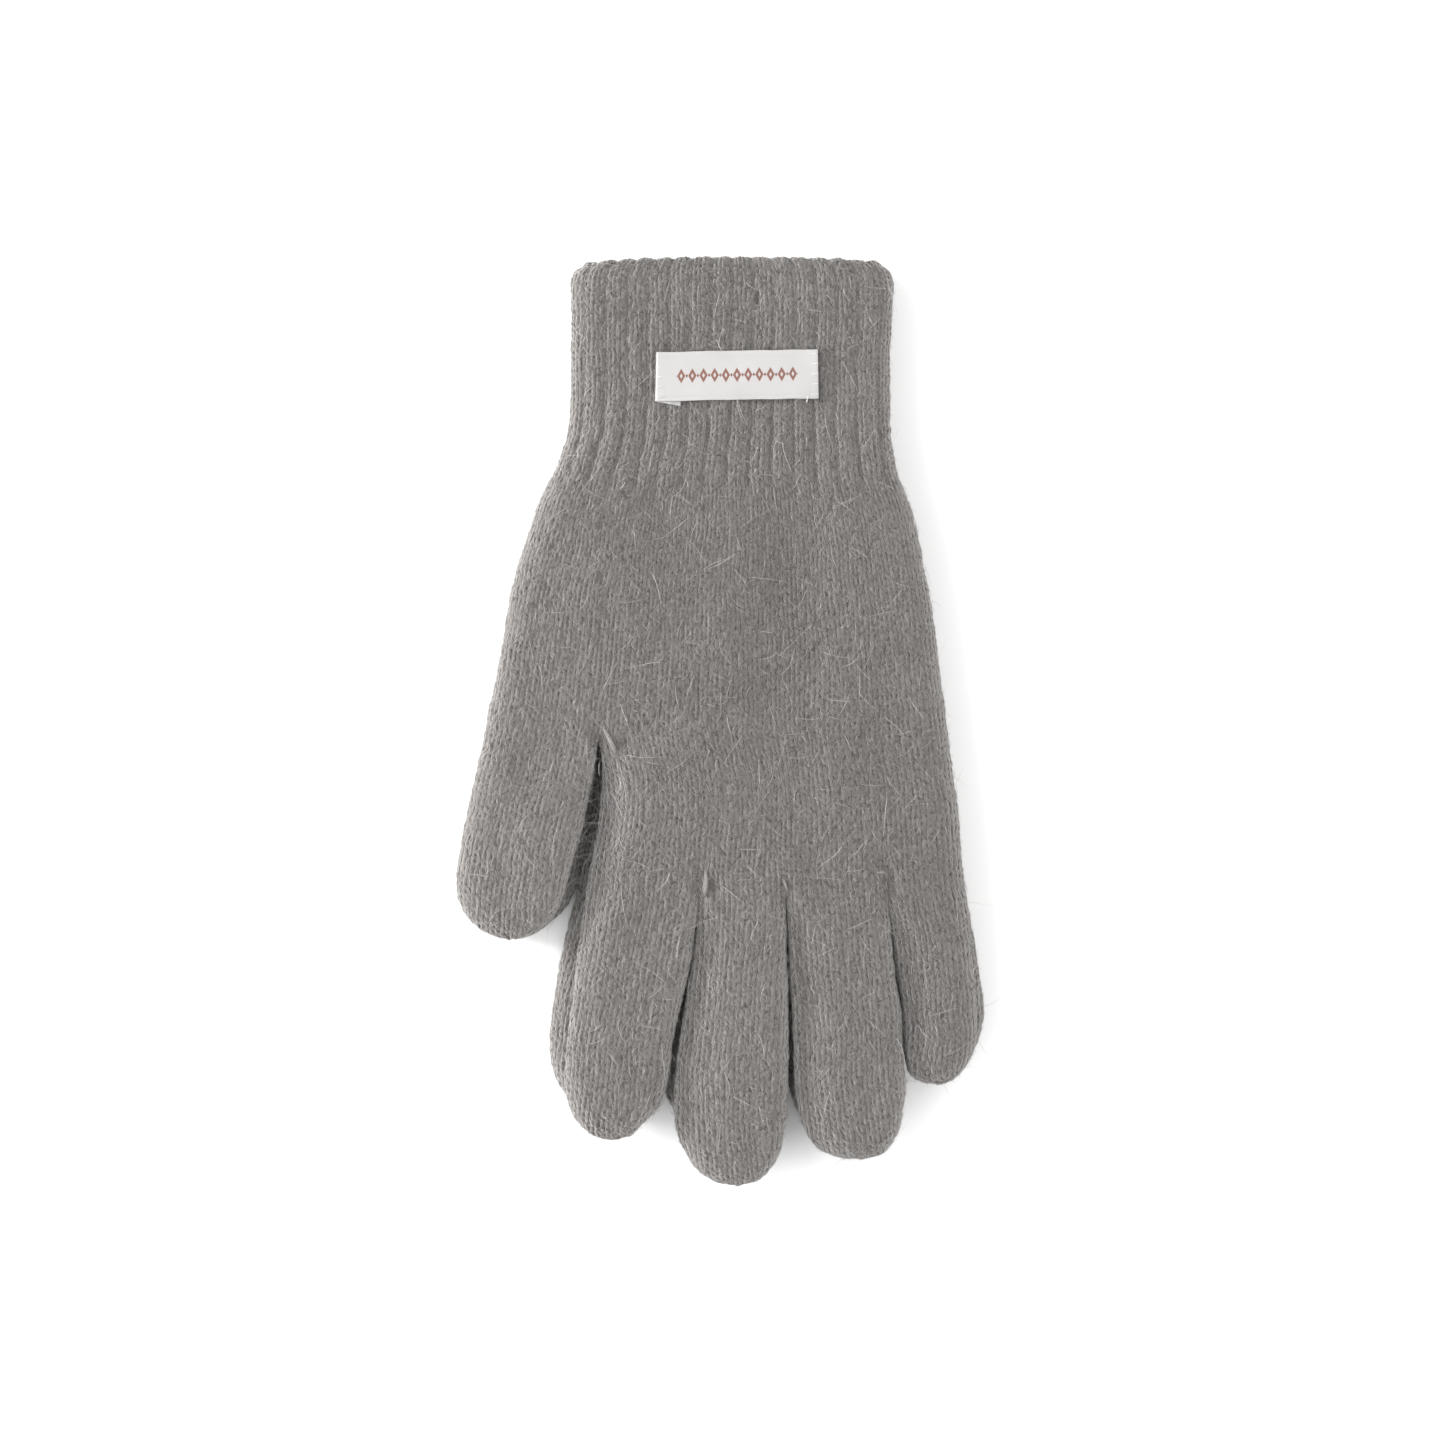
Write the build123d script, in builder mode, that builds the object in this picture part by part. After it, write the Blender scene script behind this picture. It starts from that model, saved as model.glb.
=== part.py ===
from build123d import *
import os

# A pair of knitted winter gloves laid palm to palm on a table: the lower glove
# rests on its back, the upper glove lies on it back uppermost, both thumbs at -X.
# +Z up, fingers towards -Y, cuffs towards +Y. The origin is under the middle of
# the pair, on the surface that the pair lies on. Millimetres.

# ---- driving dimensions -----------------------------------------------------
FABRIC = 1.9            # thickness of the knitted wall
SLOT = 4.5              # height of the space left inside an empty, lying glove
GLOVE = 2 * FABRIC + SLOT
STACK_GAP = 0.4         # air between the two gloves
SEAM = 2.6              # wall at the rolled side edges, in plan
ROLL = 3.0              # radius of the rolled side edges
JOIN = 0.3              # gap where two knitted sections meet
Y_WRIST = 60.0          # where the ribbed cuff meets the hand
Y_FINGERS = -38.0       # where the fingers meet the hand
X_CROTCH = (-5.2, 16.3, 40.6)      # index/middle, middle/ring, ring/little
FINGER_GAP = {"upper": 0.8, "lower": 2.6}     # clear width between two fingers of each glove
THUMB_SLOPE = 0.1736    # fall of the thumb's root line per mm of X
THUMB_AT = (-57.1, 1.3) # outer end of the thumb's root line, on the hand
THUMB_CROTCH = (-30.3, -4.9)
BAR_R = 0.75            # darning bar that closes each crotch
LABEL = (39.7, 12.1)    # woven label, length and width
LABEL_AT = (4.2, 85.4)
LABEL_TURN = 1.0        # degrees
LABEL_THICK = 0.35      # one ply of the label
LABEL_FOLD = 6.0        # length of the ends turned under
STITCH = (1.7, 0.5, 0.3)
ELASTIC = 0.7           # section of the elastic yarn
ELASTIC_Y = (73.0, 80.0, 87.0, 94.0, 101.0, 108.0)
CUFF_IN = (-34.2, 39.4) # inner width of the cuff
TAB = 9.0               # length that each section is drawn past its root before trimming

Z_LOWER = 0.0
Z_UPPER = GLOVE + STACK_GAP
Z_TOP = Z_UPPER + GLOVE

# ---- outlines in plan -------------------------------------------------------
HAND_LEFT = [(-41.5, 60.6), (-44.8, 53.2), (-49.7, 38.3), (-52.6, 24.0), (-54.9, 12.0), (-57.1, 1.3)]
HAND_INNER = [(-30.0, -3.4), (-29.7, -10.0), (-30.5, -19.8), (-31.9, -29.5), (-33.6, -38.0)]
HAND_RIGHT = [(60.0, -38.0), (58.4, -21.0), (56.4, -6.2), (54.7, 8.7), (52.9, 23.5), (50.2, 38.3),
              (46.8, 52.5), (43.8, 60.6)]
CUFF_LEFT = [(-41.6, 60.0), (-39.0, 66.0), (-37.2, 72.5), (-36.8, 80.0)]
CUFF_RIGHT = [(42.0, 80.0), (42.2, 73.0), (42.8, 66.0), (44.0, 60.0)]
THUMB = [(-57.2, 1.0), (-60.3, -13.6), (-63.6, -28.4), (-65.3, -38.3), (-63.6, -46.5), (-58.9, -52.2),
         (-52.4, -54.2), (-45.8, -52.4), (-40.4, -46.5), (-36.6, -33.4), (-33.4, -20.3), (-31.4, -10.5), (-30.7, -3.8)]
C1, C2, C3 = X_CROTCH
G = FINGER_GAP["upper"] / 2
GL = FINGER_GAP["lower"] / 2
FINGERS = {
    "index_finger": {
        "upper": [(-33.6, -38.0), (-34.7, -52.0), (-36.2, -67.0), (-37.9, -81.6), (-37.6, -94.0), (-33.6, -101.0),
                  (-26.7, -103.6), (-19.8, -100.6), (-14.6, -92.7), (-11.6, -79.5), (-7.8, -66.0), (C1 - G, -58.0),
                  (C1 - G, -48.0), (C1 - G, -38.0)],
        "lower": [(-33.6, -38.0), (-36.9, -50.7), (-39.6, -61.8), (-41.6, -73.0), (-42.3, -81.0), (-40.8, -89.0),
                  (-35.9, -95.2), (-28.9, -97.4), (-22.0, -94.7), (-17.4, -86.6), (-13.8, -76.0), (-8.9, -65.5),
                  (C1 - GL, -58.0), (C1 - GL, -48.0), (C1 - GL, -38.0)]},
    "middle_finger": {
        "upper": [(C1 + G, -38.0), (C1 + G, -48.0), (C1 + G, -58.0), (-7.0, -66.0), (-10.4, -79.1), (-12.2, -93.0),
                  (-8.6, -105.6), (-2.4, -113.2), (4.2, -115.0), (10.4, -112.6), (15.4, -104.0), (17.0, -91.5),
                  (17.0, -80.0), (C2 - G, -62.0), (C2 - G, -50.0), (C2 - G, -38.0)],
        "lower": [(C1 + GL, -38.0), (C1 + GL, -48.0), (C1 + GL, -58.0), (-6.1, -66.0), (-9.1, -79.1), (-10.5, -92.0),
                  (-7.4, -103.6), (-2.0, -110.6), (4.0, -112.4), (9.8, -110.2), (13.9, -102.0), (15.5, -90.5),
                  (15.6, -80.0), (C2 - GL, -62.0), (C2 - GL, -50.0), (C2 - GL, -38.0)]},
    "ring_finger": {
        "upper": [(C2 + G, -38.0), (C2 + G, -50.0), (C2 + G, -62.0), (18.0, -80.0), (18.4, -92.0), (21.3, -101.4),
                  (27.7, -106.8), (35.6, -108.2), (41.8, -105.0), (44.6, -96.9), (44.8, -86.0), (43.6, -73.0),
                  (41.6, -65.0), (C3 - G, -58.0), (C3 - G, -48.0), (C3 - G, -38.0)],
        "lower": [(C2 + GL, -38.0), (C2 + GL, -50.0), (C2 + GL, -62.0), (18.4, -80.0), (19.5, -91.0), (22.4, -99.4),
                  (28.2, -104.4), (34.8, -105.8), (40.2, -102.8), (42.7, -95.4), (43.1, -85.0), (42.3, -73.0),
                  (40.7, -65.0), (C3 - GL, -58.0), (C3 - GL, -48.0), (C3 - GL, -38.0)]},
    "little_finger": {
        "upper": [(C3 + G, -38.0), (C3 + G, -48.0), (C3 + G, -58.0), (42.6, -65.0), (44.8, -74.0), (46.4, -83.6),
                  (49.6, -88.4), (54.0, -89.8), (59.0, -87.6), (62.4, -81.1), (63.1, -73.0), (62.2, -59.4),
                  (61.0, -48.0), (60.0, -38.0)],
        "lower": [(C3 + GL, -38.0), (C3 + GL, -48.0), (C3 + GL, -58.0), (43.5, -65.0), (46.1, -73.5), (48.8, -81.4),
                  (51.6, -85.4), (56.6, -86.2), (61.3, -83.2), (64.6, -77.6), (65.5, -72.0), (64.2, -61.6),
                  (62.0, -49.0), (60.0, -38.0)]},
}


def grown(points, tab):
    """The free side of one section, run past both of its root ends by the vector tab."""
    first, last = points[0], points[-1]
    return [(last[0] + tab[0], last[1] + tab[1]), (first[0] + tab[0], first[1] + tab[1])]


def inset(points, depth):
    """The free side of one section moved inwards by depth, point by point along its normals."""
    moved = []
    for i, (x, y) in enumerate(points):
        ax, ay = points[max(i - 1, 0)]
        bx, by = points[min(i + 1, len(points) - 1)]
        length = ((bx - ax) ** 2 + (by - ay) ** 2) ** 0.5
        moved.append((x - (by - ay) / length * depth, y + (bx - ax) / length * depth))
    return moved


def rim(edge, z_mid):
    """Whether an edge is one of the two long rolled rims of a section."""
    return edge.geom_type == GeomType.BSPLINE and abs(edge.center().Z - z_mid) > GLOVE / 2 - 0.01


def rolled(edge, z_mid, y_end):
    """Whether an edge of a closed-ended tube is one of its long rims, its square root end left out."""
    return abs(edge.center().Z - z_mid) > GLOVE / 2 - 0.01 and edge.center().Y < y_end


os.makedirs("parts", exist_ok=True)
THUMB_OUT = (THUMB_SLOPE * TAB, TAB)
ROOT_ANGLE_NORMAL = (THUMB_SLOPE, 1.0, 0.0)

for side, z0 in (("lower", Z_LOWER), ("upper", Z_UPPER)):
    z_slot = z0 + FABRIC
    z_mid = z0 + GLOVE / 2
    bars = [(x, Y_FINGERS - JOIN / 2) for x in X_CROTCH]
    half = FINGER_GAP[side] / 2

    # ---- four fingers: flat tubes, closed at the tip, open at the root ----
    for finger, shapes in FINGERS.items():
        outline = shapes[side]
        lining = inset(outline, SEAM)
        with BuildPart() as finger_part:
            with BuildSketch(Plane.XY.offset(z0)):
                with BuildLine():
                    Spline(outline, tangents=[(0, -1), (0, 1)])
                    Polyline([outline[-1]] + grown(outline, (0, TAB)) + [outline[0]])
                make_face()
            extrude(amount=GLOVE)
            fillet(finger_part.edges().filter_by(lambda e: rolled(e, z_mid, Y_FINGERS + TAB - 0.1)), ROLL)
            with BuildSketch(Plane.XY.offset(z_slot)):
                with BuildLine():
                    Spline(lining, tangents=[(0, -1), (0, 1)])
                    Polyline([lining[-1]] + grown(lining, (0, TAB + 2)) + [lining[0]])
                make_face()
            extrude(amount=SLOT, mode=Mode.SUBTRACT)
            split(bisect_by=Plane(origin=(0, Y_FINGERS - JOIN, 0), z_dir=(0, 1, 0)), keep=Keep.BOTTOM)
            with Locations(*[(x, y, z_mid) for x, y in bars]):
                Cylinder(BAR_R + 0.9, GLOVE + 2, mode=Mode.SUBTRACT)
        finger_part.part.label = f"{side}_{finger}"
        export_step(finger_part.part, f"parts/{side}_{finger}.step")

    # ---- thumb: the same flat tube, leaning outwards from its slanting root ----
    with BuildPart() as thumb_part:
        with BuildSketch(Plane.XY.offset(z0)):
            with BuildLine():
                Spline(THUMB, tangents=[(-THUMB_SLOPE, -1), (THUMB_SLOPE, 1)])
                Polyline([THUMB[-1]] + grown(THUMB, THUMB_OUT) + [THUMB[0]])
            make_face()
        extrude(amount=GLOVE)
        fillet(thumb_part.edges().filter_by(lambda e: rolled(e, z_mid, THUMB_AT[1] + TAB - 3.0)), ROLL)
        with BuildSketch(Plane.XY.offset(z_slot)):
            with BuildLine():
                Spline(inset(THUMB, SEAM), tangents=[(-THUMB_SLOPE, -1), (THUMB_SLOPE, 1)])
                Polyline([inset(THUMB, SEAM)[-1]] + grown(inset(THUMB, SEAM), (THUMB_OUT[0] * 1.2, THUMB_OUT[1] * 1.2))
                         + [inset(THUMB, SEAM)[0]])
            make_face()
        extrude(amount=SLOT, mode=Mode.SUBTRACT)
        split(bisect_by=Plane(origin=(THUMB_AT[0], THUMB_AT[1] - JOIN, 0), z_dir=ROOT_ANGLE_NORMAL), keep=Keep.BOTTOM)
        with Locations((THUMB_CROTCH[0], THUMB_CROTCH[1], z_mid)):
            Cylinder(BAR_R + 0.9, GLOVE + 2, mode=Mode.SUBTRACT)
    thumb_part.part.label = f"{side}_thumb"
    export_step(thumb_part.part, f"parts/{side}_thumb.step")

    # ---- hand: palm and back in one tube, open to the cuff, the thumb and every finger ----
    with BuildPart() as hand:
        with BuildSketch(Plane.XY.offset(z0)):
            with BuildLine():
                Line((44.0, Y_WRIST), (-41.6, Y_WRIST))
                Spline([(-41.6, Y_WRIST)] + HAND_LEFT[1:])
                Line(HAND_LEFT[-1], HAND_INNER[0])
                Spline(HAND_INNER)
                Line(HAND_INNER[-1], HAND_RIGHT[0])
                Spline(HAND_RIGHT[:-1] + [(44.0, Y_WRIST)])
            make_face()
        extrude(amount=GLOVE)
        fillet(hand.edges().filter_by(lambda e: rim(e, z_mid)), ROLL)
        # the room for the hand, then the tunnels to the wrist, the fingers and the thumb
        with BuildSketch(Plane.XY.offset(z_slot)):
            with BuildLine():
                Polyline([(41.3, Y_WRIST + 1), (-38.8, Y_WRIST + 1), (-42.2, 53.0), (-47.0, 38.0), (-50.0, 24.0),
                          (-52.2, 12.0), (-54.2, 2.0), (-53.9, -4.0), (-33.8, -4.0), (-32.6, -7.0), (-27.0, -9.0),
                          (-27.6, -19.0), (-29.0, -29.0), (-30.4, -35.4), (57.0, -35.4), (55.6, -21.0),
                          (53.6, -6.0), (52.0, 8.7), (50.2, 23.5), (47.4, 38.0), (44.0, 52.0), (41.3, Y_WRIST + 1)])
            make_face()
            for left, right in ((-30.8, C1 - half - SEAM), (C1 + half + SEAM, C2 - half - SEAM),
                                (C2 + half + SEAM, C3 - half - SEAM), (C3 + half + SEAM, 57.2)):
                with Locations(((left + right) / 2, Y_FINGERS + 2.0)):
                    Rectangle(right - left, 8.0)
        extrude(amount=SLOT, mode=Mode.SUBTRACT)
        with Locations(*[(x, y, z_mid) for x, y in bars + [THUMB_CROTCH]]):
            Cylinder(BAR_R + 0.05, GLOVE + 2, mode=Mode.SUBTRACT)
    hand.part.label = f"{side}_hand"
    export_step(hand.part, f"parts/{side}_hand.step")

    # ---- cuff: a ribbed sleeve, open at both ends, grooved inside for the elastic yarn ----
    with BuildPart() as cuff:
        with BuildSketch(Plane.XY.offset(z0)):
            with BuildLine():
                Line((44.0 + 0, Y_WRIST + JOIN), (-41.6, Y_WRIST + JOIN))
                Spline([(-41.6, Y_WRIST + JOIN), (-39.0, 66.0), (-37.2, 72.5), (-36.8, 80.0), (-36.8, 93.0),
                        (-36.9, 104.0), (-36.2, 109.6), (-33.0, 113.0), (-27.0, 114.0), (-12.0, 114.6), (10.0, 114.7),
                        (32.0, 114.5), (39.0, 113.3), (42.3, 109.6), (42.8, 104.0), (42.4, 93.0), (42.0, 80.0),
                        (42.2, 73.0), (42.9, 66.0), (44.0, Y_WRIST + JOIN)])
            make_face()
        extrude(amount=GLOVE)
        fillet(cuff.edges().filter_by(lambda e: rim(e, z_mid)), ROLL)
        with BuildSketch(Plane.XY.offset(z_slot)):
            with BuildLine():
                Polyline([(41.2, Y_WRIST - 1), (CUFF_IN[1], 70.0), (CUFF_IN[1], 120.0), (CUFF_IN[0], 120.0),
                          (CUFF_IN[0], 70.0), (-38.6, Y_WRIST - 1), (41.2, Y_WRIST - 1)])
            make_face()
        extrude(amount=SLOT, mode=Mode.SUBTRACT)
        for y in ELASTIC_Y:
            with BuildSketch(Plane.XZ.offset(-(y + ELASTIC / 2 + 0.05))):
                with Locations(((CUFF_IN[0] + CUFF_IN[1]) / 2, z_mid)):
                    Rectangle(CUFF_IN[1] - CUFF_IN[0] + 2 * (ELASTIC + 0.1), SLOT + 2 * (ELASTIC + 0.1))
            extrude(amount=ELASTIC + 0.1, mode=Mode.SUBTRACT)
        if side == "lower":
            # the label of the lower glove is pressed into the wool under it
            with BuildSketch(Plane.XY):
                with Locations(LABEL_AT):
                    Rectangle(LABEL[0] + 1.2, LABEL[1] + 1.2, rotation=LABEL_TURN)
            extrude(amount=1.15, mode=Mode.SUBTRACT)
    cuff.part.label = f"{side}_cuff"
    export_step(cuff.part, f"parts/{side}_cuff.step")

    # ---- elastic yarn: rings laid inside the rib ----
    with BuildPart() as elastic:
        for y in ELASTIC_Y:
            with BuildSketch(Plane.XZ.offset(-(y + ELASTIC / 2))):
                with Locations(((CUFF_IN[0] + CUFF_IN[1]) / 2, z_mid)):
                    Rectangle(CUFF_IN[1] - CUFF_IN[0] + 2 * (ELASTIC + 0.05), SLOT + 2 * (ELASTIC + 0.05))
                    Rectangle(CUFF_IN[1] - CUFF_IN[0] + 0.1, SLOT + 0.1, mode=Mode.SUBTRACT)
            extrude(amount=ELASTIC)
    elastic.part.label = f"{side}_cuff_elastic"
    export_step(elastic.part, f"parts/{side}_cuff_elastic.step")

    # ---- crotch bars: darned yarn that closes the knitting between two fingers ----
    with BuildPart() as crotch:
        with Locations(*[(x, y, z_mid) for x, y in bars + [THUMB_CROTCH]]):
            Cylinder(BAR_R, GLOVE - 1.2)
        fillet(crotch.edges().filter_by(GeomType.CIRCLE), 0.35)
    crotch.part.label = f"{side}_crotch_stitches"
    export_step(crotch.part, f"parts/{side}_crotch_stitches.step")

    # ---- woven label, ends turned under, and the stitches that hold it ----
    z_label = Z_TOP + 0.03 if side == "upper" else 0.42
    turn = 1 if side == "upper" else -1
    with BuildPart() as label:
        with BuildSketch(Plane.XY.offset(z_label)):
            with Locations(LABEL_AT):
                Rectangle(LABEL[0], LABEL[1], rotation=LABEL_TURN)
        extrude(amount=2 * LABEL_THICK)
        with BuildSketch(Plane.XY.offset(z_label if side == "upper" else z_label + LABEL_THICK)):
            with Locations(LABEL_AT):
                Rectangle(LABEL[0] - 2 * LABEL_FOLD, LABEL[1] + 1, rotation=LABEL_TURN)
        extrude(amount=LABEL_THICK, mode=Mode.SUBTRACT)
        fillet(label.edges().filter_by(Axis.Z).group_by(SortBy.LENGTH)[-1], 0.5)
    label.part.label = f"{side}_label"
    export_step(label.part, f"parts/{side}_label.step")

    z_thread = z_label + 2 * LABEL_THICK + 0.02 if side == "upper" else z_label - 0.02 - STITCH[2]
    with BuildPart() as stitches:
        with BuildSketch(Plane.XY.offset(z_thread)):
            with Locations(Location((LABEL_AT[0], LABEL_AT[1], 0), (0, 0, LABEL_TURN))):
                with Locations(*[(e * (LABEL[0] / 2 - 1.2), (k - 2) * 2.6) for e in (-1, 1) for k in range(5)]):
                    SlotOverall(STITCH[0], STITCH[1])
        extrude(amount=STITCH[2])
    stitches.part.label = f"{side}_label_stitches"
    export_step(stitches.part, f"parts/{side}_label_stitches.step")
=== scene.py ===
import math

import bpy
import numpy as np
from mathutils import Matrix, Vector


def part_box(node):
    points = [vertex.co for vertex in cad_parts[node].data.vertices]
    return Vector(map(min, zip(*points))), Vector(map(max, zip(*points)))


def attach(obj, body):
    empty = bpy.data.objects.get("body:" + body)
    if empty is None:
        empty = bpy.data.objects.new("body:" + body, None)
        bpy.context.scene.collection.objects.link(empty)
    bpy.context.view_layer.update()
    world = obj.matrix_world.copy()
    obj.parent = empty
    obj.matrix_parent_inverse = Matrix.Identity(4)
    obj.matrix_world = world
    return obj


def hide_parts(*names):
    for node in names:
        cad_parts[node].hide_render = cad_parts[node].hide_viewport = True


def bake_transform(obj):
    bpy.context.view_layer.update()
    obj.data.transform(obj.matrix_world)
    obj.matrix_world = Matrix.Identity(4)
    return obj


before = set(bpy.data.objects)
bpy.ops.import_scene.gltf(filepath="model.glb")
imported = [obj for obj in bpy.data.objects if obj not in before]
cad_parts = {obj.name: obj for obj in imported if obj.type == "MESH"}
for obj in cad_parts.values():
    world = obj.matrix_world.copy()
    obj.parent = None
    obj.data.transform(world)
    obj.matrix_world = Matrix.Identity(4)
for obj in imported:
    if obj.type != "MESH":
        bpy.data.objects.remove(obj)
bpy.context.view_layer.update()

# A pair of knitted gloves laid palm to palm. Lengths below are millimetres until a mesh is made.
MM = 0.001
STEP = 0.43          # grid of the knitted surfaces
WALE, COURSE = 2.52, 1.73               # width of a column of stitches, height of a row
WALES = 48                              # columns across one side of the cuff and hand
THUMB_WALES = 12
Y_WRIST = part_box("upper_hand")[1].y / MM
Y_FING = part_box("upper_hand")[0].y / MM
rng = np.random.default_rng(41)

# ------------------------------------------------------------------ outlines
HAND_LEFT = [(-41.6, 60.0), (-44.9, 53.2), (-47.4, 45.8), (-49.7, 38.3), (-51.7, 30.9), (-53.2, 22.0), (-54.9, 12.0), (-57.1, 1.3)]
HAND_INNER = [(-30.0, -3.4), (-29.1, -10.0), (-29.5, -19.8), (-30.8, -30.0), (-32.2, -38.0)]
HAND_INNER_LOW = [(-30.0, -3.4), (-30.1, -10.0), (-31.4, -19.8), (-33.4, -30.0), (-34.8, -38.0)]
HAND_RIGHT = [(44.0, 60.0), (47.0, 52.5), (50.2, 38.3), (52.9, 23.5), (54.7, 8.7), (56.4, -6.2), (58.4, -21.0), (60.0, -38.0)]
CUFF_LEFT = [(-41.6, 60.0), (-39.3, 66.0), (-37.6, 71.0), (-36.9, 79.0), (-36.7, 90.0), (-36.8, 102.0), (-36.9, 109.0), (-36.3, 114.2)]
CUFF_RIGHT = [(44.0, 60.0), (42.9, 66.0), (42.1, 72.0), (41.9, 79.0), (42.0, 90.0), (42.7, 100.0), (42.9, 108.0), (42.2, 114.2)]
THUMB_L = [(-57.1, 1.3), (-58.6, -6.0), (-60.3, -13.6), (-63.3, -27.0), (-64.8, -35.5), (-65.1, -41.0), (-63.2, -47.4), (-58.9, -52.0), (-52.4, -54.2)]
THUMB_R = [(-30.0, -3.4), (-30.9, -9.2), (-32.9, -20.3), (-35.9, -33.4), (-39.2, -44.5), (-42.0, -49.6), (-46.4, -52.9), (-52.4, -54.2)]
THUMB_R_LOW = [(-30.0, -3.4), (-30.3, -9.2), (-31.7, -20.3), (-34.2, -33.4), (-36.0, -42.4), (-38.4, -46.6), (-42.2, -50.0), (-46.6, -52.9), (-52.4, -54.2)]
C1, C2, C3 = -5.2, 16.3, 40.6
FINGERS = {
    "upper": {
        "index_finger": ([(-32.2, -38.0), (-34.3, -52.0), (-36.1, -67.0), (-37.8, -81.0), (-38.0, -91.0), (-35.6, -98.6), (-31.8, -102.3), (-26.7, -103.7)],
                         [(C1, -38.0), (-5.7, -48.0), (-7.0, -58.0), (-9.4, -69.0), (-11.8, -80.0), (-13.3, -90.0), (-15.1, -95.4), (-18.7, -99.2), (-22.4, -102.6), (-26.7, -103.7)]),
        "middle_finger": ([(C1, -38.0), (-5.6, -48.0), (-6.8, -58.0), (-8.3, -69.0), (-10.1, -80.0), (-11.3, -92.0), (-10.4, -101.6), (-7.0, -109.3), (-2.0, -113.7), (4.2, -115.0)],
                          [(C2, -38.0), (16.2, -50.0), (16.5, -62.0), (16.8, -80.0), (16.7, -91.0), (15.9, -101.0), (13.6, -108.6), (9.6, -113.4), (4.2, -115.0)]),
        "ring_finger": ([(C2, -38.0), (16.6, -50.0), (17.1, -62.0), (18.1, -80.0), (18.9, -92.0), (20.8, -100.2), (24.2, -105.7), (29.6, -108.0), (35.0, -108.4)],
                        [(C3, -38.0), (41.6, -48.0), (42.9, -60.0), (44.4, -72.0), (45.3, -85.0), (45.2, -96.0), (43.2, -103.0), (39.8, -107.0), (35.0, -108.4)]),
        "little_finger": ([(C3, -38.0), (41.8, -50.0), (43.3, -61.0), (45.0, -74.0), (45.7, -82.6), (46.9, -87.4), (50.0, -89.4), (53.8, -89.9)],
                          [(60.0, -38.0), (61.0, -48.0), (62.1, -59.4), (63.1, -71.0), (62.9, -79.6), (60.6, -85.6), (57.6, -88.9), (53.8, -89.9)]),
    },
    "lower": {
        "index_finger": ([(-34.8, -38.0), (-36.1, -45.2), (-37.6, -50.7), (-40.0, -62.3), (-41.8, -73.0), (-42.3, -81.0), (-40.9, -88.4), (-36.5, -94.6), (-29.5, -97.3)],
                         [(C1, -38.0), (-6.6, -48.0), (-9.5, -58.0), (-13.2, -69.0), (-15.6, -80.0), (-18.2, -88.0), (-22.6, -94.4), (-29.5, -97.3)]),
        "middle_finger": ([(C1, -38.0), (-5.0, -48.0), (-6.8, -58.0), (-10.4, -69.0), (-13.2, -80.0), (-14.3, -88.0), (-13.5, -92.6), (-10.9, -97.6), (-6.6, -105.6), (-2.2, -110.0), (3.4, -111.4)],
                          [(C2, -38.0), (15.6, -50.0), (15.3, -62.0), (15.3, -80.0), (14.9, -90.0), (13.2, -100.0), (9.8, -107.6), (3.4, -111.4)]),
        "ring_finger": ([(C2, -38.0), (17.1, -50.0), (17.5, -62.0), (17.2, -72.0), (16.7, -82.0), (16.9, -89.0), (19.0, -96.5), (23.6, -102.0), (28.6, -104.2), (33.4, -104.6)],
                        [(C3, -38.0), (40.5, -48.0), (41.1, -60.0), (42.1, -72.0), (43.2, -84.0), (42.6, -94.0), (39.6, -101.6), (33.4, -104.6)]),
        "little_finger": ([(C3, -38.0), (43.2, -50.0), (45.0, -62.0), (46.5, -74.0), (48.7, -81.8), (52.0, -85.2), (56.8, -86.0)],
                          [(60.0, -38.0), (62.0, -49.0), (64.2, -61.6), (65.4, -72.0), (64.4, -78.6), (61.6, -83.8), (56.8, -86.0)]),
    },
}


def curve(points, n):
    """n points evenly spaced along a smooth curve through the given ones."""
    p = np.array(points, float)
    d = np.r_[0, np.cumsum(np.linalg.norm(np.diff(p, axis=0), axis=1))]
    m = np.gradient(p, d, axis=0)
    t = np.linspace(0, d[-1], 24 * len(p))
    i = np.clip(np.searchsorted(d, t, side="right") - 1, 0, len(d) - 2)
    h = (d[i + 1] - d[i])[:, None]
    s = ((t - d[i]) / (d[i + 1] - d[i]))[:, None]
    q = ((2 * s**3 - 3 * s**2 + 1) * p[i] + (s**3 - 2 * s**2 + s) * h * m[i]
         + (3 * s**2 - 2 * s**3) * p[i + 1] + (s**3 - s**2) * h * m[i + 1])
    e = np.r_[0, np.cumsum(np.linalg.norm(np.diff(q, axis=0), axis=1))]
    f = np.linspace(0, e[-1], n)
    return np.stack([np.interp(f, e, q[:, 0]), np.interp(f, e, q[:, 1])], 1)


TABLE = rng.random((257, 257))
TABLE[-1, :] = TABLE[0, :]
TABLE[:, -1] = TABLE[:, 0]


def noise(x, y, seed=0.0):
    """Smooth value noise from -1 to 1."""
    x = np.asarray(x, float) + 17.3 * seed + 100.0
    y = np.asarray(y, float) + 9.7 * seed + 100.0
    i, j = np.floor(x).astype(int), np.floor(y).astype(int)
    u, v = x - i, y - j
    u, v = u * u * (3 - 2 * u), v * v * (3 - 2 * v)
    i, j = i % 256, j % 256
    a = TABLE[i, j] * (1 - u) + TABLE[i + 1, j] * u
    b = TABLE[i, j + 1] * (1 - u) + TABLE[i + 1, j + 1] * u
    return (a * (1 - v) + b * v) * 2 - 1


def ease(t):
    t = np.clip(t, 0, 1)
    return t * t * (3 - 2 * t)


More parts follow.
